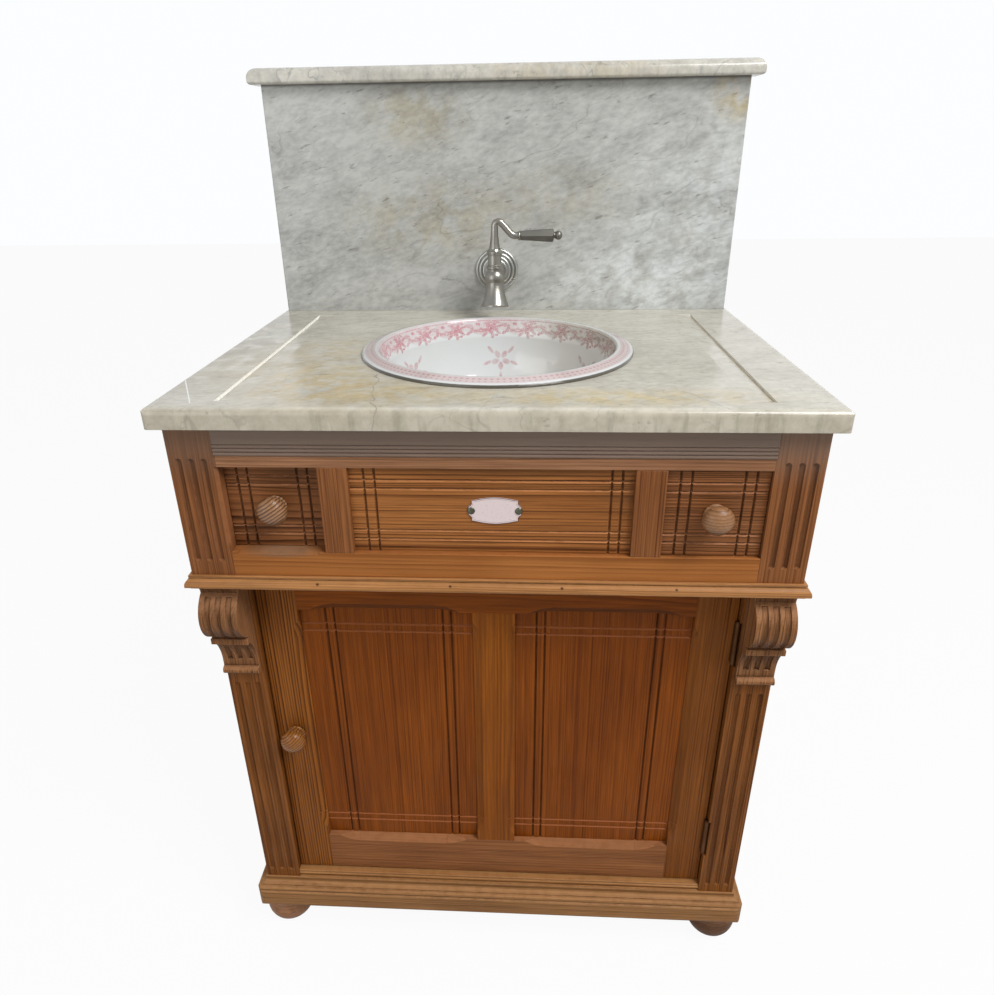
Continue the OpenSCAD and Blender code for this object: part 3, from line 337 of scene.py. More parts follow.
def wax_and_painted_shade(wood, grain, looks_up, way):
    """Dark wax and painted shade in hollows, less where faces look up, painted shade below edges."""
    dirt_and_shade = way["dirt_and_shade"]
    # Painted shade on faces that look down; wax and painted shade in hollows, less on upward faces
    looks_down = wood.span(wood.facing("Z"), -0.15, -0.6, 0.0, 0.75 * dirt_and_shade)
    hollow = wood.math("MULTIPLY", wood.crevices(way["reach"]), way["deep"], clamp=True)
    hollow = wood.math("MULTIPLY", hollow, wood.span(looks_up, 0.0, 1.0, dirt_and_shade, 0.35 * dirt_and_shade))
    return wood.mix(wood.math("MAXIMUM", hollow, looks_down), grain, WAX_DIRT_AND_SHADE)


def rubbed(wood, grain, looks_up, early, way):
    """Pale worn arrises, and a painted highlight on upper faces. Returns the colour and the rounded
    normal.
    """
    pale_wood = tuple(min(1.0, c * 1.5 + 0.030) for c in early)
    rounded, edge = wood.arrises(0.0012, 5.0)
    rub = wood.span(wood.noise(wood.place, 60.0, 3), 0.35, 0.65, 0.2 * way["worn"], way["worn"])
    grain = wood.mix(wood.math("MULTIPLY", edge, rub), grain, pale_wood)
    # A painted highlight, in patches, on faces that look up
    painted_shading = wood.span(wood.noise(wood.place, 90.0, 3), 0.35, 0.6, 0.65, 1.0)
    pale = wood.math("MULTIPLY", looks_up, way["lip"])
    # A painted highlight on faces that look right
    if way["side_lip"]:
        looks_right = wood.span(wood.facing("X"), 0.25, 0.8, 0.0, way["side_lip"])
        pale = wood.math("MAXIMUM", pale, looks_right)
    return wood.mix(wood.math("MULTIPLY", pale, painted_shading), grain, pale_wood), rounded


def pine(name, axes, tone, seed, **special):
    """Axes names the directions across the face, into the board and along the grain."""
    way = {**ORDINARY, **special}
    chance = random.Random(seed)
    wood = Finish(name)
    early, late = TONES[tone]
    place = wood.split(wood.stretch(wood.place, turn=(0, way["tilt"], 0)))
    board = wood.join(*(place["XYZ".index(letter)] for letter in axes))
    heart = way["heart"]
    if heart is None:
        heart = (chance.choice((-1, 1)) * chance.uniform(0.45, 0.8), chance.uniform(0.02, 0.12))
    shift = (*heart, chance.uniform(-3, 3))
    line = year_rings(wood, board, shift, way)
    grain, streak = figured(wood, board, shift, wood.mix(line, early, late), way["figure"])
    # Darker places, most of them painted shade
    for centre, radii, tint, strength in way["shade_and_patches"]:
        grain = wood.mix(wood.math("MULTIPLY", wood.near(centre, radii), strength), grain, tint)
    looks_up = wood.span(wood.facing("Z"), 0.15, 0.75)
    grain = wax_and_painted_shade(wood, grain, looks_up, way)
    grain, rounded = rubbed(wood, grain, looks_up, early, way)
    # A painted grey sheen on the wood close under the marble
    if way["dull"]:
        sheen_band = wood.span(wood.split(wood.place)[2], SHEEN_FROM, SHEEN_TO)
        grain = wood.mix(wood.math("MULTIPLY", sheen_band, way["dull"]), grain, PAINTED_SHEEN)
    for nail in way["nails"]:
        grain = wood.mix(wood.near(nail, NAIL_RADII), grain, WAX_DIRT_AND_SHADE)
    height = wood.math("ADD", line, wood.math("MULTIPLY", streak, 0.8))
    specular, rough = way["gloss"]
    shine = wood.span(wood.noise(wood.place, 35.0, 2), 0.3, 0.7, rough, rough + 0.14)
    return wood.finish(Base_Color=grain, Roughness=shine, Specular_IOR_Level=specular,
                       Normal=wood.relief(height, way["ridge"], rounded))


print("pine ready")

# %% [markdown]
# ## Which board runs which way
#
# A joiner runs the grain along each board. The table below gives that direction for every
# wooden node, with the tone of its piece of wood. Each node gets a material of its own, so no
# two boards repeat the same rings. Many boards need more: a heart close to the face for arched
# figure, a wider ring, harder ridges where the soft early wood is worn away, or darker places,
# most of them painted shade.

# %% The grain of each board
UPRIGHT, LEVEL, SIDEWAYS, ACROSS, TURNED = "XYZ", "ZYX", "YXZ", "ZXY", "XZY"
BOARDS = {
    "side_panel_left": (SIDEWAYS, "oiled"), "side_panel_right": (SIDEWAYS, "oiled"),
    "back_panel": (UPRIGHT, "bare"), "bottom_board": (LEVEL, "oiled"),
    "drawer_runners": (ACROSS, "bare"),
    "upper_pilaster_left": (UPRIGHT, "amber"), "upper_pilaster_right": (UPRIGHT, "amber"),
    "frieze_moulding": (LEVEL, "smoked"), "drawer_rail": (LEVEL, "rosy"),
    "divider_left": (UPRIGHT, "amber"), "divider_right": (UPRIGHT, "amber"),
    "centre_panel": (LEVEL, "banded"), "frieze_lower_rail": (LEVEL, "honey"),
    "waist_front": (LEVEL, "golden"), "waist_returns": (ACROSS, "golden"),
    "corbel_left": (UPRIGHT, "worn"), "corbel_right": (UPRIGHT, "worn"),
    "lower_pilaster_left": (UPRIGHT, "handled"), "lower_pilaster_right": (UPRIGHT, "handled"),
    "plinth_front": (LEVEL, "tawny"), "plinth_returns": (ACROSS, "tawny"),
    "plinth_back": (LEVEL, "bare"), "corner_blocks": (UPRIGHT, "bare"),
    "front_feet": (LEVEL, "rosy"), "rear_feet": (LEVEL, "worn"),
    "hinge_stile": (UPRIGHT, "chestnut"), "lock_stile": (UPRIGHT, "ribbed"),
    "door_top_rail": (LEVEL, "russet"), "door_bottom_rail": (LEVEL, "amber"),
    "door_muntin": (UPRIGHT, "ginger"), "door_panel_left": (UPRIGHT, "russet"),
    "door_panel_right": (UPRIGHT, "russet"), "door_knob": (TURNED, "rubbed"),
    "drawer_left_front": (LEVEL, "toffee"), "drawer_right_front": (LEVEL, "toffee"),
    "drawer_left_knob": (TURNED, "turned"), "drawer_right_knob": (TURNED, "turned"),
    "drawer_left_box": (ACROSS, "bare"), "drawer_right_box": (ACROSS, "bare"),
    "drawer_left_bottom": (ACROSS, "bare"), "drawer_right_bottom": (ACROSS, "bare"),
}
print(f"{len(BOARDS)} boards in the table")

# %% What sets some boards apart
CARVED = {"pitch": 0.0029, "ridge": 0.0006, "dirt_and_shade": 0.9, "lip": 0.9, "deep": 1.5, "even": 0.45}
DOOR = {"dirt_and_shade": 0.8, "worn": 0.45, "figure": 0.25, "lip": 1.25, "deep": 1.8}
FLUTED = {"worn": 1.0, "ridge": 0.0003, "dirt_and_shade": 0.95, "reach": 0.016, "deep": 2.6, "lip": 0.6,
          "side_lip": 0.3}
PILASTER = {"dirt_and_shade": 0.9, "reach": 0.012, "deep": 2.2, "lip": 0.15, "side_lip": 0.35}
HANDLED = {"worn": 0.95, "dirt_and_shade": 0.75, "reach": 0.010, "deep": 1.0, "lip": 0.3, "figure": 0.36,
           "ridge": 0.0004}
KNOB = {"even": 0.85, "wobble": 0.0025, "pitch": 0.0033, "gloss": (0.5, 0.24), "lip": 0.0,
        "figure": 0.12}
# Painted shade, a greyer patch for the ledge, and a darker patch for a foot
PAINTED_SHADE, GREYED, FOOT_DARKENING = (0.085, 0.037, 0.014), (0.150, 0.105, 0.070), (0.060, 0.026, 0.012)
NAILS = [(-0.1937, -0.252, 0.6565), (-0.0452, -0.252, 0.6568), (0.0777, -0.252, 0.6565),
         (0.2018, -0.252, 0.657)]
SPECIAL = {
    "centre_panel": {
        "pitch": 0.0042, "ridge": 0.0005, "dirt_and_shade": 0.9, "lip": 0.9, "deep": 1.5,
        "shade_and_patches": [((0.02, -0.24, 0.800), (0.24, 0.05, 0.022), PAINTED_SHADE, 0.55),
                    ((0.16, -0.24, 0.770), (0.07, 0.05, 0.040), PAINTED_SHADE, 0.35)]},
    "drawer_left_front": {
        **CARVED, "shade_and_patches": [((-0.21, -0.23, 0.79), (0.05, 0.06, 0.05), PAINTED_SHADE, 0.5)]},
    "drawer_right_front": CARVED,
    "door_panel_left": DOOR,
    "door_panel_right": DOOR,
    "door_top_rail": {"dirt_and_shade": 0.8, "worn": 0.3, "lip": 0.2},
    "door_muntin": {"pitch": 0.0045, **DOOR},
    "door_bottom_rail": {**DOOR, "lip": 0.6},
    "lock_stile": {**DOOR, "pitch": 0.0033, "ridge": 0.0005, "even": 0.6, "wobble": 0.004},
    "hinge_stile": {**DOOR, "pitch": 0.0030, "ridge": 0.0003},
    "drawer_rail": {"heart": (0.03, 0.05), "pitch": 0.004},
    "frieze_lower_rail": {
        "heart": (0.06, 0.05), "pitch": 0.006, "lip": 0.3, "figure": 0.12,
        "shade_and_patches": [((-0.232, -0.236, 0.6935), (0.060, 0.03, 0.009), GREYED, 1.0)]},
    "frieze_moulding": {"lip": 0.25, "dirt_and_shade": 0.7, "dull": 0.84},
    "upper_pilaster_left": {
        **PILASTER, "dull": 0.45,
        "shade_and_patches": [((-0.313, -0.25, 0.82), (0.06, 0.06, 0.09), PAINTED_SHADE, 0.4)]},
    "upper_pilaster_right": {**PILASTER, "dull": 0.75},
    "lower_pilaster_left": HANDLED,
    "lower_pilaster_right": HANDLED,
    "waist_front": {"nails": NAILS, "worn": 0.9, "lip": 0.28, "dirt_and_shade": 0.9, "gloss": (0.18, 0.34)},
    "waist_returns": {"lip": 0.25},
    "plinth_front": {"worn": 1.0, "lip": 0.65, "dirt_and_shade": 0.95, "deep": 2.6, "reach": 0.012},
    "bottom_board": {"worn": 1.0, "lip": 0.5, "dirt_and_shade": 0.9, "gloss": (0.18, 0.30)},
    "corbel_left": {
        **FLUTED, "shade_and_patches": [((-0.313, -0.24, 0.61), (0.07, 0.07, 0.06), PAINTED_SHADE, 0.30)]},
    "corbel_right": {
        **FLUTED, "shade_and_patches": [((0.313, -0.22, 0.545), (0.06, 0.06, 0.035), PAINTED_SHADE, 0.35)]},
    # A darker patch on the right front foot
    "front_feet": {"shade_and_patches": [((0.324, -0.17, 0.04), (0.12, 0.12, 0.12), FOOT_DARKENING, 0.85)]},
    "drawer_left_knob": {**KNOB, "heart": (0.7, 0.0), "ridge": 0.0006, "tilt": 42},
    "drawer_right_knob": {**KNOB, "heart": (0.7, 0.2), "ridge": 0.0003, "tilt": 90, "even": 0.4,
                          "gloss": (0.35, 0.24)},
    "door_knob": {**KNOB, "heart": (0.7, 0.1), "tilt": 60, "gloss": (0.30, 0.20)},
}
for seed, (name, (axes, tone)) in enumerate(sorted(BOARDS.items())):
    dress(name, pine(f"pine_{name}", axes, tone, seed, **SPECIAL.get(name, {})))
print(f"{len(SPECIAL)} of {len(BOARDS)} boards have marks of their own")

# %% [markdown]
# ## Marble
#
# The upright slab is a cool grey with short slanting flecks and a few tan clouds. The top is
# the same stone after a century of wax and water: creamier, with ochre stains near the front.
# Three sizes of noise make the flecks, and all but the broadest are drawn out along the bed of
# the stone. Veins are the thin places where another noise passes through its middle value. A
# stain multiplies the colour near one point, and a tint above 1 makes a paler place. Some of
# them are painted light and shade: the upright slab is lighter to the lower right, and the top
# is darker at its left.

# %% How marble is made
def marble(name, bed, pale, grey, vein, veins, stains):
    """Bed is the turn and the stretch of the stone's layers. Returns the finish and its colour."""
    stone = Finish(name)
    turn, size = bed
    layers = stone.stretch(stone.place, turn=turn, size=size)
    clouds = stone.math("MULTIPLY", stone.noise(layers, 34.0, 6, 0.62, 0.3), 0.42)
    flecks = stone.noise(layers, 150.0, 5, 0.62)
    sweep = stone.math("MULTIPLY", stone.noise(stone.place, 5.0, 2), 0.18)
    value = stone.math("ADD", clouds, stone.math("MULTIPLY", flecks, 0.40))
    value = stone.math("ADD", value, sweep)
    between = tuple((a + b) / 2 for a, b in zip(grey, pale))
    colour = stone.ramp(value, [(0.36, grey), (0.47, between), (0.58, pale)])
    dashes = stone.noise(stone.stretch(layers, size=(2.0, 1, 1)), 170.0, 4, 0.65)
    colour = stone.mix(stone.span(dashes, 0.61, 0.72, 0.0, 0.6), colour, vein)
    for scale, width, strength, start in veins:
        field = stone.noise(stone.stretch(layers, start=start), scale, 3, 0.5, 0.25)
        thin = stone.span(stone.math("ABSOLUTE", stone.math("SUBTRACT", field, 0.5)), width, 0.0)
        gaps = stone.noise(stone.stretch(stone.place, start=start), scale * 0.7, 2)
        broken = stone.math("MULTIPLY", thin, stone.span(gaps, 0.45, 0.62))
        colour = stone.mix(stone.math("MULTIPLY", broken, strength), colour, vein)
    for centre, radii, tint, strength in stains:
        wander = stone.span(stone.noise(stone.place, 38.0, 3, 0.6), 0.3, 0.62)
        amount = stone.math("MULTIPLY", stone.near(centre, radii), wander)
        colour = stone.mix(stone.math("MULTIPLY", amount, strength), colour, tint, "MULTIPLY")
    rounded, _ = stone.arrises(0.0010, 1.0)
    polish = stone.span(stone.noise(stone.place, 14.0, 3), 0.3, 0.7, 0.16, 0.26)
    stone.finish(Base_Color=colour, Roughness=polish, Normal=stone.relief(flecks, 0.00004, rounded))
    return stone, colour


print("marble ready")

# %% The three slabs
TAN, OCHRE, RUST, HONEYED = (0.88, 0.82, 0.69), (0.98, 0.84, 0.58), (0.95, 0.86, 0.68), (0.98, 0.80, 0.50)
# Multipliers: painted shade, a paler patch, and painted light
SHADED, PALER_PATCH, PAINTED_LIGHT = (0.72, 0.71, 0.68), (1.16, 1.18, 1.22), (1.26, 1.29, 1.33)
splash, splash_colour = marble(
    "marble_upright", bed=((0, -17, 0), (2.1, 1.0, 1.0)),
    pale=(0.508, 0.512, 0.484), grey=(0.298, 0.299, 0.280), vein=(0.15, 0.145, 0.125),
    veins=[(9.0, 0.006, 0.25, (3.1, 0, 1.2)), (26.0, 0.010, 0.20, (0.4, 2.0, 0))],
    stains=[((-0.125, 0.22, 1.140), (0.10, 0.1, 0.06), TAN, 1.0),
            ((-0.10, 0.22, 1.00), (0.18, 0.1, 0.08), TAN, 0.9),
            ((0.330, 0.22, 1.165), (0.050, 0.1, 0.052), HONEYED, 1.0),
            ((0.09, 0.22, 1.03), (0.14, 0.1, 0.06), TAN, 0.6),
            # Painted light: the upright slab is lighter towards its lower right
            ((0.33, 0.22, 0.97), (0.30, 0.1, 0.24), PAINTED_LIGHT, 1.0),
            ((0.16, 0.22, 0.90), (0.22, 0.1, 0.08), PAINTED_LIGHT, 0.6)])
shelf, _ = marble(
    "marble_shelf", bed=((0, 0, 0), (1.0, 1.0, 1.6)),
    pale=(0.610, 0.585, 0.520), grey=(0.400, 0.385, 0.340), vein=(0.27, 0.27, 0.26),
    veins=[(22.0, 0.014, 0.7, (1.3, 0, 0)), (9.0, 0.010, 0.6, (5.0, 2.0, 0))],
    stains=[((0.10, 0.2, 1.19), (0.2, 0.1, 0.1), RUST, 0.5)])
slab, slab_colour = marble(
    "marble_slab", bed=((0, 0, 12), (1.7, 1.0, 2.0)),
    pale=(0.640, 0.612, 0.530), grey=(0.455, 0.425, 0.350), vein=(0.28, 0.26, 0.215),
    veins=[(12.0, 0.008, 0.35, (0.7, 0, 0)), (26.0, 0.010, 0.30, (2.4, 1.0, 0)),
           (5.0, 0.004, 0.40, (4.4, 3.0, 0))],
    stains=[((-0.15, -0.205, 0.865), (0.17, 0.07, 0.06), OCHRE, 1.0),
            ((0.12, -0.22, 0.865), (0.24, 0.045, 0.06), OCHRE, 0.9),
            ((-0.20, -0.13, 0.865), (0.11, 0.10, 0.06), OCHRE, 0.8),
            ((-0.20, -0.02, 0.865), (0.12, 0.08, 0.06), RUST, 0.7),
            ((-0.30, -0.10, 0.865), (0.08, 0.14, 0.06), RUST, 0.6),
            # A paler patch along the front of the top
            ((0.10, -0.215, 0.865), (0.24, 0.06, 0.06), PALER_PATCH, 0.8),
            ((-0.345, 0.02, 0.865), (0.14, 0.36, 0.06), SHADED, 1.0)])
print("three kinds of marble")

# %% [markdown]
# ## What a century did to the slab, with painted light and shade
#
# The low walls of the two drain grooves carry a painted highlight, so they show as pale lines;
# the right one is dimmer and browner. The front edge is darker and yellower than the top, with
# grey streaks where water runs down it. A few hairlines cross the stone: a pale one at the left
# corner, and dark ones near the bowl. A painted shadow lies as a dark line where the shelf
# meets the upright slab.

# %% Lime, handling and hairlines
GROOVE_X, GROOVE_TOP, GROOVE_FLOOR, GROOVE_FRONT = 0.283, 0.8648, 0.8615, -0.2375
GROOVE_HIGHLIGHT, DIM_GROOVE_HIGHLIGHT = (0.95, 0.93, 0.87), (0.78, 0.72, 0.60)
HAIRLINES = (
    ((-0.133, -0.140), (-0.112, -0.262), 0.0007, 0.020, (0.33, 0.30, 0.24)),
    ((0.192, -0.190), (0.232, -0.255), 0.0006, 0.012, (0.36, 0.33, 0.27)),
    ((-0.345, -0.160), (-0.304, -0.243), 0.0009, 0.000, (0.88, 0.88, 0.85)))
SHELF_SHADOW_BAND, SHELF_UNDER, SHELF_SHADOW = 0.006, 1.1820, (0.07, 0.065, 0.055)

x, y, z = slab.split(slab.place)
# A painted highlight on the low groove walls, dimmer and browner on the right
from_groove = slab.math("ABSOLUTE", slab.math("SUBTRACT", slab.math("ABSOLUTE", x), GROOVE_X))
groove_highlight = slab.span(from_groove, 0.0022, 0.0012)
for inside in (slab.math("LESS_THAN", z, GROOVE_TOP), slab.math("GREATER_THAN", z, GROOVE_FLOOR),
               slab.math("GREATER_THAN", y, GROOVE_FRONT)):
    groove_highlight = slab.math("MULTIPLY", groove_highlight, inside)
groove_highlight_colour = slab.mix(slab.math("GREATER_THAN", x, 0.0), GROOVE_HIGHLIGHT, DIM_GROOVE_HIGHLIGHT)
slab_colour = slab.mix(groove_highlight, slab_colour, groove_highlight_colour)
# The front edge: grey streaks, and the whole face darker and yellower than the top
front = slab.span(slab.facing("Y"), -0.45, -0.9)
drips = slab.noise(slab.stretch(slab.place, size=(1, 1, 7)), 75.0, 4, 0.6)
streaked = slab.math("MULTIPLY", front, slab.span(drips, 0.50, 0.68, 0.0, 0.8))
slab_colour = slab.mix(streaked, slab_colour, (0.74, 0.75, 0.72), "MULTIPLY")
slab_colour = slab.mix(front, slab_colour, (0.82, 0.78, 0.72), "MULTIPLY")
for start, end, width, waver, tint in HAIRLINES:
    slab_colour = slab.mix(slab.scratch(start, end, width, waver), slab_colour, tint)
slab.finish(Base_Color=slab_colour)
# A painted shadow: a dark band on the upright slab just under the shelf
under_shelf = splash.span(splash.split(splash.place)[2], SHELF_UNDER - SHELF_SHADOW_BAND, SHELF_UNDER)
painted_shading = splash.math("MULTIPLY", splash.math("MULTIPLY", under_shelf, under_shelf), 0.8)
splash.finish(Base_Color=splash.mix(painted_shading, splash_colour, SHELF_SHADOW))
for name, stone in (("splashback", splash), ("splash_shelf", shelf), ("marble_top", slab)):
    dress(name, stone.material)
print(f"marble laid, with {len(HAIRLINES)} hairlines")

# %% [markdown]
# ## The bowl's glaze and its printed border
#
# The bowl is white earthenware with a pink printed border under the glaze. The border here is a
# plain garland of leaves and five-petalled flowers on a wavy stem, of our own drawing. It is
# drawn with nodes: the angle round the bowl and the height down its wall make a flat drawing
# plane, and each leaf is a small ellipse on it. That keeps the print sharp at any distance,
# which painting onto the mesh's vertices wouldn't.

# %% Drawing with ellipses
BOWL_CENTRE = (0.0, -0.023, 0.865)
REPEATS, BEADS, SPRIGS = 17, 150, 6
PINK, ROSE, LEAF = (0.56, 0.230, 0.265), (0.38, 0.110, 0.140), (0.56, 0.310, 0.330)
PETAL_TURNS = [math.radians(72 * k + 18) for k in range(5)]


def dab(paint, plane, centre, radii, turn=0.0, soft=0.25):
    """A filled ellipse on a drawing plane, 1 inside and 0 outside."""
    local = paint.stretch(plane, turn=(0, 0, turn), size=(*radii, 1), start=(*centre, 0))
    return paint.span(paint.vector("LENGTH", local), 1.0, 1.0 - soft)


def together(paint, marks):
    """One drawing of several marks."""
    total = marks[0]
    for mark in marks[1:]:
        total = paint.math("MAXIMUM", total, mark)
    return total


def round_and_round(paint, angle, times):
    """The place within one repeat of a pattern round the bowl, from -0.5 to 0.5."""
    turn = paint.math("MULTIPLY", angle, times / (2 * math.pi))
    return paint.math("SUBTRACT", paint.math("FRACT", turn), 0.5)


print("brushes ready")


# %% The garland
BORDER_TOP, BORDER_RADIUS = 0.0050, 0.142
BUDS = ((-0.34, 0.46, 0.085, 0.062, 60), (0.37, 0.14, 0.075, 0.060, -30),
        (-0.13, 0.55, 0.060, 0.048, 10))
LEAVES = ((-0.22, 0.22, 40), (0.24, 0.35, -35), (-0.17, 0.43, -50), (0.19, 0.52, 50),
          (-0.40, 0.18, -20), (0.42, 0.38, 15), (-0.02, 0.56, 90), (-0.44, 0.35, 75),
          (0.10, 0.10, 10), (-0.12, 0.08, -15))
VEINED = 4


def garland(paint, angle, height):
    """Marks of one repeat, which is 1 wide, with its height in the same units, going down."""
    across = round_and_round(paint, angle, REPEATS)
    unit = 0.70 * 2 * math.pi * BORDER_RADIUS / REPEATS
    down = paint.math("DIVIDE", paint.math("SUBTRACT", BORDER_TOP, height), unit)
    plane = paint.join(across, down, 0.0)
    flowers = [dab(paint, plane, (0.02 + 0.115 * math.cos(a), 0.30 + 0.130 * math.sin(a)),
                   (0.100, 0.074), math.degrees(a)) for a in PETAL_TURNS]
    flowers += [dab(paint, plane, (x, y), (long, wide), turn) for x, y, long, wide, turn in BUDS]
    leaves = [dab(paint, plane, (x, y), (0.135, 0.058), turn) for x, y, turn in LEAVES]
    veins = [dab(paint, plane, (0.02, 0.30), (0.038, 0.038))]
    veins += [dab(paint, plane, (x, y), (0.05, 0.011), turn, 0.5) for x, y, turn in LEAVES[:VEINED]]
    wave = paint.math("SINE", paint.math("MULTIPLY", across, 2 * math.pi))
    middle = paint.math("ADD", 0.32, paint.math("MULTIPLY", wave, 0.11))
    stem = paint.span(paint.math("ABSOLUTE", paint.math("SUBTRACT", down, middle)), 0.032, 0.012)
    edging = paint.span(paint.math("ABSOLUTE", paint.math("SUBTRACT", down, 0.015)), 0.020, 0.010)
    hem = paint.math("SUBTRACT", down, paint.math("MULTIPLY", wave, 0.08))
    return {"flowers": together(paint, flowers), "leaves": together(paint, leaves),
            "veins": together(paint, veins), "lines": together(paint, [stem, edging]),
            "drape": paint.span(hem, 0.50, 0.42, 0.0, 0.45)}


print(f"garland of {len(LEAVES)} leaves and {len(BUDS)} buds")


# %% The sprigs lower down
SPRIG_MIDDLE, SPRIG_HEIGHT, SPRIG_WIDTH = -0.050, 0.046, 3.2
SPRIG_LEAVES = ((0.44, 0.10, 20), (-0.44, 0.10, -20), (0.33, -0.30, -50), (-0.33, -0.30, 50),
                (0.0, 0.50, 90))


def sprigs(paint, angle, height):
    """A flower with five leaves, a few times round the bowl."""
    across = paint.math("MULTIPLY", round_and_round(paint, angle, SPRIGS), SPRIG_WIDTH)
    down = paint.math("DIVIDE", paint.math("SUBTRACT", SPRIG_MIDDLE, height), SPRIG_HEIGHT)
    plane = paint.join(across, down, 0.0)
    marks = [dab(paint, plane, (0.19 * math.cos(a), 0.19 * math.sin(a)), (0.15, 0.10),
                 math.degrees(a), 0.4) for a in PETAL_TURNS]
    marks += [dab(paint, plane, (x, y), (0.17, 0.06), turn, 0.4) for x, y, turn in SPRIG_LEAVES]
    return together(paint, marks)


print(f"{SPRIGS} sprigs")

# %% [markdown]
# The ink is worn: one noise fades whole stretches of it, and a very fine one breaks it into the
# hatching of a printed line. On the right side, where the wall turns from the light, painted shade
# makes the ink duller and the glaze browner. The rim has a band of beads, and a painted shadow
# lies as a dark line where the rim rests on the marble.

# %% The glaze
WHITE, BLUSH, BEAD = (0.690, 0.705, 0.700), (0.61, 0.500, 0.490), (0.46, 0.22, 0.23)
PRINT_RADIUS, BAND_INSIDE, BAND_OUTSIDE = 0.1500, 0.1535, 0.1655
BEAD_ROWS, BEAD_STEP = ((0.1575, (0.34, 0.26)), (0.1625, (0.20, 0.20))), 0.0066
GAP_SHADOW_FROM, GAP_SHADOW_TO = 0.1684, 0.1692


def rim_band(paint, angle, radius, height):
    """Where the band on the rim is, and its colour: two rows of beads on a blush ground."""
    across, outward = round_and_round(paint, angle, BEADS), paint.math("DIVIDE", radius, BEAD_STEP)
    ring = paint.join(across, outward, 0.0)
    beads = together(paint, [dab(paint, ring, (0.0, row / BEAD_STEP), radii) for row, radii in BEAD_ROWS])
    band = paint.math("MULTIPLY", paint.math("GREATER_THAN", radius, BAND_INSIDE),
                      paint.math("LESS_THAN", radius, BAND_OUTSIDE))
    band = paint.math("MULTIPLY", band, paint.math("GREATER_THAN", height, 0.001))
    return band, paint.mix(paint.math("MULTIPLY", beads, 0.6), BLUSH, BEAD)


def glaze():
    """White glaze over worn print and a beaded rim band, with painted shade and a shadow line."""
    paint = Finish("bowl_glaze")
    x, y, height = paint.split(paint.vector("SUBTRACT", paint.place, BOWL_CENTRE))
    radius = paint.vector("LENGTH", paint.join(x, y, 0.0))
    angle = paint.math("ARCTAN2", y, x)
    inside = paint.math("LESS_THAN", radius, PRINT_RADIUS)
    border = garland(paint, angle, height)
    faded = paint.span(paint.noise(paint.place, 70.0, 3), 0.35, 0.65, 0.7, 1.0)
    hatched = paint.span(paint.noise(paint.place, 700.0, 2), 0.38, 0.58, 0.45, 1.0)
    worn_ink = paint.math("MULTIPLY", faded, hatched)
    # Painted shade on the right side of the bowl: duller ink and browner glaze
    shaded_side = paint.span(x, -0.03, 0.10)
    colour = WHITE
    for marks, strength, ink in (
            (border["drape"], 1.9, (0.61, 0.47, 0.475)), (border["lines"], 1.0, PINK),
            (border["leaves"], 1.0, LEAF), (border["flowers"], 1.0, PINK),
            (border["veins"], 1.0, ROSE), (sprigs(paint, angle, height), 0.9, LEAF)):
        amount = paint.math("MULTIPLY", paint.math("MULTIPLY", marks, inside), strength)
        shaded_ink = (0.72 * ink[0], 0.90 * ink[1], 0.80 * ink[2])
        tint = paint.mix(shaded_side, ink, shaded_ink)
        colour = paint.mix(paint.math("MULTIPLY", amount, worn_ink), colour, tint)
    right_side_shade = paint.math("MULTIPLY", paint.span(x, -0.02, 0.13), inside)
    colour = paint.mix(right_side_shade, colour, (0.97, 0.91, 0.83), "MULTIPLY")
    band, band_colour = rim_band(paint, angle, radius, height)
    colour = paint.mix(band, colour, band_colour)
    # A painted shadow: a dark line where the rim meets the marble
    colour = paint.mix(paint.span(radius, GAP_SHADOW_FROM, GAP_SHADOW_TO), colour, (0.10, 0.09, 0.07))
    rounded, _ = paint.arrises(0.005, 1.0)
    return paint.finish(
        Base_Color=colour, Roughness=0.09, Coat_Weight=0.5, Coat_Roughness=0.04,
        Normal=paint.relief(paint.noise(paint.place, 45.0, 2), 0.00012, rounded))


dress("basin", glaze())
print(f"border of {REPEATS} repeats and {BEADS} beads")

# %% [markdown]
# ## Metals
#
# The tap is satin nickel: a metal whose surface is brushed so finely that highlights spread. A
# metallic surface with middling roughness does that, and a fine stretched noise in the bump
# gives the brushing. Brass, iron and chrome use the same recipe with other numbers. Two parts
# of the tap differ from the rest: the wall flange is paler, and the grip is darker, which is a
# painted dark reflection.

# %% Metal finishes
def metal(name, colour, dull, rough, grime):
    """Brushed metal that goes dull in patches, with grime in its hollows."""
    plate = Finish(name)
    hairs = plate.noise(plate.stretch(plate.place, size=(1, 1, 12)), 900.0, 2)
    film = plate.noise(plate.place, 30.0, 2)
    tone = plate.mix(plate.span(film, 0.35, 0.7), colour, dull)
    packed = plate.math("MULTIPLY", plate.crevices(0.004), grime)
    tone = plate.mix(packed, tone, tuple(c * 0.25 for c in dull))
    rounded, _ = plate.arrises(0.0005, 1.0)
    return plate.finish(
        Base_Color=tone, Metallic=1.0, Roughness=plate.span(film, 0.3, 0.7, rough, rough + 0.08),
        Normal=plate.relief(hairs, 0.00002, rounded))


METALS = {
    "satin_nickel": metal("satin_nickel", (0.365, 0.350, 0.312), (0.295, 0.283, 0.252), 0.27, 0.6),
    "brass_fittings": metal("aged_brass", (0.60, 0.44, 0.20), (0.36, 0.25, 0.11), 0.32, 0.9),
    "browned_iron": metal("browned_iron", (0.135, 0.062, 0.027), (0.095, 0.043, 0.018), 0.55, 0.8),
    "chrome_trap": metal("chrome_plate", (0.78, 0.78, 0.79), (0.70, 0.70, 0.71), 0.06, 0.5),
}
fitted = 0
for row in frame["record"]["subparts"]:
    if row["material_slot"] in METALS:
        dress(row["node"], METALS[row["material_slot"]])
        fitted += 1
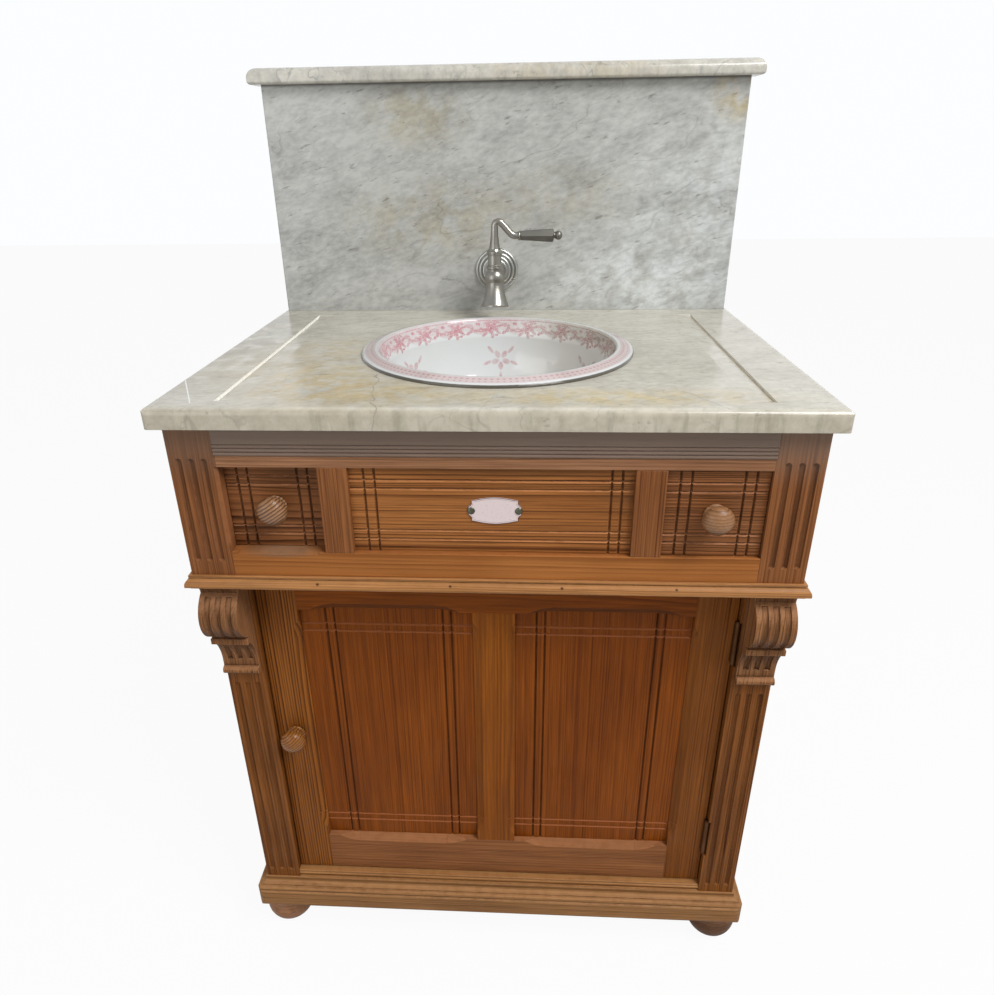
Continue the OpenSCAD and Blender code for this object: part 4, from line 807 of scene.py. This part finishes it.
# A painted dark reflection makes the grip darker
dress("lever_grip", metal("grip_painted_dark", (0.215, 0.21, 0.185), (0.17, 0.165, 0.145), 0.40, 0.8))
dress("tap_flange", metal("bright_flange", (0.600, 0.605, 0.575), (0.47, 0.475, 0.450), 0.27, 0.6))
print(f"{fitted} fittings plated")

# %% [markdown]
# ## The plate and the screws
#
# A small enamelled plate with a bare face is screwed to the middle of the centre panel. One
# quarter of the outline is drawn and mirrored twice, so the plate is symmetrical by
# construction. Insets in the front face give a thin painted line inside the rim, and a dark
# outer rim.

# %% The enamelled plate
PLATE_X, PLATE_Z, PLATE_FACE, PLATE_THICKNESS = 0.0045, 0.7445, -0.2390, 0.0011
QUARTER_MM = [(0, 0), (0, 15.9), (7, 15.5), (15, 14.3), (21.0, 12.9), (25.1, 12.1), (25.1, 8.2),
              (26.2, 6.6), (27.8, 5.6), (28.8, 3.8), (29.2, 0)]
ENAMEL, LINE, DARK_RIM = range(3)
WELD = 0.00001
plate = bmesh.new()
plate.faces.new([plate.verts.new((x / 1000, 0, z / 1000)) for x, z in QUARTER_MM])
for axis in "XZ":
    everything = plate.verts[:] + plate.edges[:] + plate.faces[:]
    bmesh.ops.mirror(plate, geom=everything, axis=axis, merge_dist=WELD)
bmesh.ops.remove_doubles(plate, verts=plate.verts, dist=WELD)
bmesh.ops.recalc_face_normals(plate, faces=plate.faces)
bmesh.ops.dissolve_limit(plate, angle_limit=0.01, verts=plate.verts, edges=plate.edges)
grown = bmesh.ops.extrude_face_region(plate, geom=plate.faces[:])
raised = [item for item in grown["geom"] if isinstance(item, bmesh.types.BMVert)]
bmesh.ops.translate(plate, verts=raised, vec=(0, -PLATE_THICKNESS, 0))
bmesh.ops.recalc_face_normals(plate, faces=plate.faces)
shown = min(plate.faces, key=lambda face: face.calc_center_median().y)
for thickness, coat in ((0.0008, DARK_RIM), (0.0010, ENAMEL), (0.0004, LINE), (0.0004, ENAMEL)):
    for ring in bmesh.ops.inset_region(plate, faces=[shown], thickness=thickness)["faces"]:
        ring.material_index = coat
print(f"plate of {len(plate.faces)} faces")


# %% Hang it, ready to ride
def settle(mesh_work, name, body, place, slot, *finishes):
    """Write a bmesh to an object whose place is in its mesh, and let it ride on a body."""
    bmesh.ops.translate(mesh_work, verts=mesh_work.verts, vec=place)
    mesh = bpy.data.meshes.new(name)
    mesh_work.to_mesh(mesh)
    mesh_work.free()
    piece = bpy.data.objects.new(name, mesh)
    for finish in finishes:
        mesh.materials.append(finish)
    scene.collection.objects.link(piece)
    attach(piece, body)
    return piece


def enamel(name, tone, spotted):
    """Glossy paint, with specks where it is chipped and grime at its edges."""
    coat = Finish(name)
    chips = coat.span(coat.noise(coat.place, 420.0, 3, 0.6), 0.58, 0.70, 0.0, spotted)
    colour = coat.mix(chips, tone, tuple(c * 0.45 for c in tone))
    colour = coat.mix(coat.math("MULTIPLY", coat.crevices(0.002), 0.5), colour, (0.20, 0.13, 0.10))
    rounded, _ = coat.arrises(0.0004, 1.0)
    return coat.finish(Base_Color=colour, Roughness=0.22, Coat_Weight=0.3, Normal=rounded)


settle(plate, "centre_plate", "cabinet", (PLATE_X, PLATE_FACE, PLATE_Z), "glazed_bowl",
       enamel("plate_enamel", (0.70, 0.585, 0.575), 0.35),
       enamel("plate_line", (0.36, 0.20, 0.20), 0.2),
       enamel("plate_dark_rim", (0.07, 0.035, 0.022), 0.4))
print("plate hung")

# %% [markdown]
# Each screw head is a low dome: half its section is drawn as a short chain of edges, and a spin
# through a full turn makes it round. The heads have no driver's slot, because wax and dirt have
# long filled the real ones, and at this size only the dome's shadow shows.

# %% Screw heads
def screw(name, body, place, radius, rise, out, finish):
    """A domed head on a face whose outward direction is out."""
    work = bmesh.new()
    slopes = [math.radians(15 * k) for k in range(6)]
    chain = [work.verts.new((radius * math.cos(a), 0, rise * math.sin(a))) for a in slopes]
    chain.append(work.verts.new((0, 0, rise)))
    edges = [work.edges.new(pair) for pair in zip(chain, chain[1:])]
    bmesh.ops.spin(work, geom=chain + edges, cent=(0, 0, 0), axis=(0, 0, 1), angle=2 * math.pi,
                   steps=24, use_merge=True)
    bmesh.ops.remove_doubles(work, verts=work.verts, dist=WELD)
    bmesh.ops.contextual_create(work, geom=[edge for edge in work.edges if edge.is_boundary])
    bmesh.ops.recalc_face_normals(work, faces=work.faces)
    turn = Vector((0, 0, 1)).rotation_difference(Vector(out)).to_matrix()
    bmesh.ops.rotate(work, verts=work.verts, cent=(0, 0, 0), matrix=turn)
    piece = settle(work, name, body, place, "browned_iron", finish)
    for face in piece.data.polygons:
        face.use_smooth = True


PLATE_SCREW_X = 0.0253
bronze = metal("bronzed_screw", (0.16, 0.16, 0.115), (0.07, 0.07, 0.05), 0.35, 0.8)
for side, word in ((-1, "left"), (1, "right")):
    head = (PLATE_X + side * PLATE_SCREW_X, PLATE_FACE - PLATE_THICKNESS, PLATE_Z)
    screw(f"plate_screw_{word}", "cabinet", head, 0.0041, 0.0016, (0, -1, 0), bronze)

LEAF_Y, LEAF_LENGTH = -0.1905, 0.060
LEAF_HOLES = (0.008, 0.030, 0.052)
FRAME_LEAF_X, DOOR_LEAF_X = 0.2900, 0.2885
leaf_low, leaf_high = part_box("hinge_leaves_frame")
for hinge, low in enumerate((leaf_low.z, leaf_high.z - LEAF_LENGTH)):
    for step, hole in enumerate(LEAF_HOLES):
        for part, body, leaf_x, out in (("frame", "cabinet", FRAME_LEAF_X, (-1, 0, 0)),
                                        ("door", "door", DOOR_LEAF_X, (1, 0, 0))):
            screw(f"hinge_screw_{part}_{hinge}{step}", body, (leaf_x, LEAF_Y, low + hole),
                  0.0024, 0.0004, out, METALS["browned_iron"])
print("fourteen screws driven")

# %% [markdown]
# ## Softened arrises
#
# No real edge is perfectly sharp: planes and sandpaper leave about half a millimetre of
# roundness, which catches a thin line of light. The modifiers below merge the CAD triangles,
# bevel every edge that turns by more than thirty-two degrees, and weight the normals so that
# the flat faces still look flat. Fluted, ruled and turned pieces keep their mesh: a bevel would
# tangle their fine lines, and the bevel node in their finish already rounds the shading.

# %% Round the edges
SOFT_WIDTH, SOFT_ANGLE = 0.0006, math.radians(32)
SOFT_BOARDS = ["side_panel_left", "side_panel_right", "bottom_board", "drawer_rail", "divider_left",
               "divider_right", "frieze_lower_rail"]
for name in SOFT_BOARDS:
    modifiers = nodes[name].modifiers
    weld = modifiers.new("weld", "WELD")
    weld.merge_threshold = WELD
    arris = modifiers.new("arris", "BEVEL")
    arris.width, arris.segments = SOFT_WIDTH, 2
    arris.limit_method, arris.angle_limit = "ANGLE", SOFT_ANGLE
    arris.use_clamp_overlap = True
    weighted = modifiers.new("weighted", "WEIGHTED_NORMAL")
    weighted.keep_sharp = False
print(f"{len(SOFT_BOARDS)} boards softened")

# %% [markdown]
# ## Floor and light
#
# The photograph shows the washstand cut out on white. A pale floor keeps a faint shadow, and
# its whiteness towards the camera comes from a little emission seen only by camera, glossy and
# transmitted rays, so that it throws no extra light on the wood. Two broad lamps and an even
# sky light the object at a level where a colour looks as it is written. Polished things mirror
# the white behind the object, and a dimmer room in front of it, which gives metal its contrast.

# %% The floor
FLOOR_SIZE, FLOOR_GREY, GLOW_SHARE, GLOW_IN_GLOSS = 9.0, (0.80, 0.80, 0.80, 1), 0.94, 0.5


def white_ground():
    """Matt grey to the light, and a white glow to the camera."""
    material = bpy.data.materials.new("pale_floor")
    material.use_nodes = True
    ground = Wiring(material.node_tree)
    ground.tree.nodes.clear()
    matt = ground.node("ShaderNodeBsdfDiffuse", {"Color": FLOOR_GREY})
    glow = ground.node("ShaderNodeEmission", {"Color": (1, 1, 1, 1), "Strength": 1.0})
    ray = ground.node("ShaderNodeLightPath").outputs
    seen = ground.math("MAXIMUM", ray["Is Camera Ray"], ray["Is Transmission Ray"])
    seen = ground.math("MAXIMUM", seen, ground.math("MULTIPLY", ray["Is Glossy Ray"], GLOW_IN_GLOSS))
    share = ground.math("MULTIPLY", seen, GLOW_SHARE)
    both = ground.node("ShaderNodeMixShader", {0: share, 1: matt.outputs[0], 2: glow.outputs[0]})
    ground.node("ShaderNodeOutputMaterial", {0: both.outputs[0]})
    return material


sheet = bmesh.new()
bmesh.ops.create_grid(sheet, x_segments=1, y_segments=1, size=FLOOR_SIZE)
floor_mesh = bpy.data.meshes.new("floor")
sheet.to_mesh(floor_mesh)
sheet.free()
floor = bpy.data.objects.new("floor", floor_mesh)
floor.data.materials.append(white_ground())
scene.collection.objects.link(floor)
print("floor laid")

# %% The sky and the lamps
SKY_COLOUR, SKY_LIGHT, ROOM_IN_FRONT = (0.97, 0.985, 1.0, 1), 0.32, 0.50
world = bpy.data.worlds.new("studio")
world.use_nodes = True
scene.world = world
sky = Wiring(world.node_tree)
rays = sky.node("ShaderNodeLightPath").outputs
direct = sky.math("MAXIMUM", rays["Is Camera Ray"], rays["Is Transmission Ray"])
toward = sky.split(sky.node("ShaderNodeTexCoord").outputs["Generated"])["Y"]
room = sky.node("ShaderNodeMapRange", {0: toward, 1: -0.5, 2: 0.5, 3: ROOM_IN_FRONT, 4: 1.0}).outputs[0]
mirrored = sky.math("MULTIPLY", room, rays["Is Glossy Ray"])
strength = sky.math("MAXIMUM", sky.math("MAXIMUM", mirrored, direct), SKY_LIGHT)
backdrop = sky.tree.nodes["Background"]
sky.put(backdrop.inputs["Color"], SKY_COLOUR)
sky.put(backdrop.inputs["Strength"], strength)


def lamp(name, place, target, size, power):
    """A square soft lamp that looks at a point."""
    light = bpy.data.lights.new(name, "AREA")
    light.shape = "RECTANGLE"
    light.size = light.size_y = size
    light.energy = power
    holder = bpy.data.objects.new(name, light)
    aim = (Vector(target) - Vector(place)).to_track_quat("-Z", "Y")
    holder.matrix_world = Matrix.Translation(place) @ aim.to_matrix().to_4x4()
    scene.collection.objects.link(holder)


lamp("key", place=(1.5, -1.4, 2.9), target=(0, 0, 0.7), size=1.3, power=74)
lamp("fill", place=(-1.6, -2.0, 1.3), target=(0, 0, 0.6), size=1.8, power=15)
print("two lamps and a sky")

# %% Finish
print("scene built")
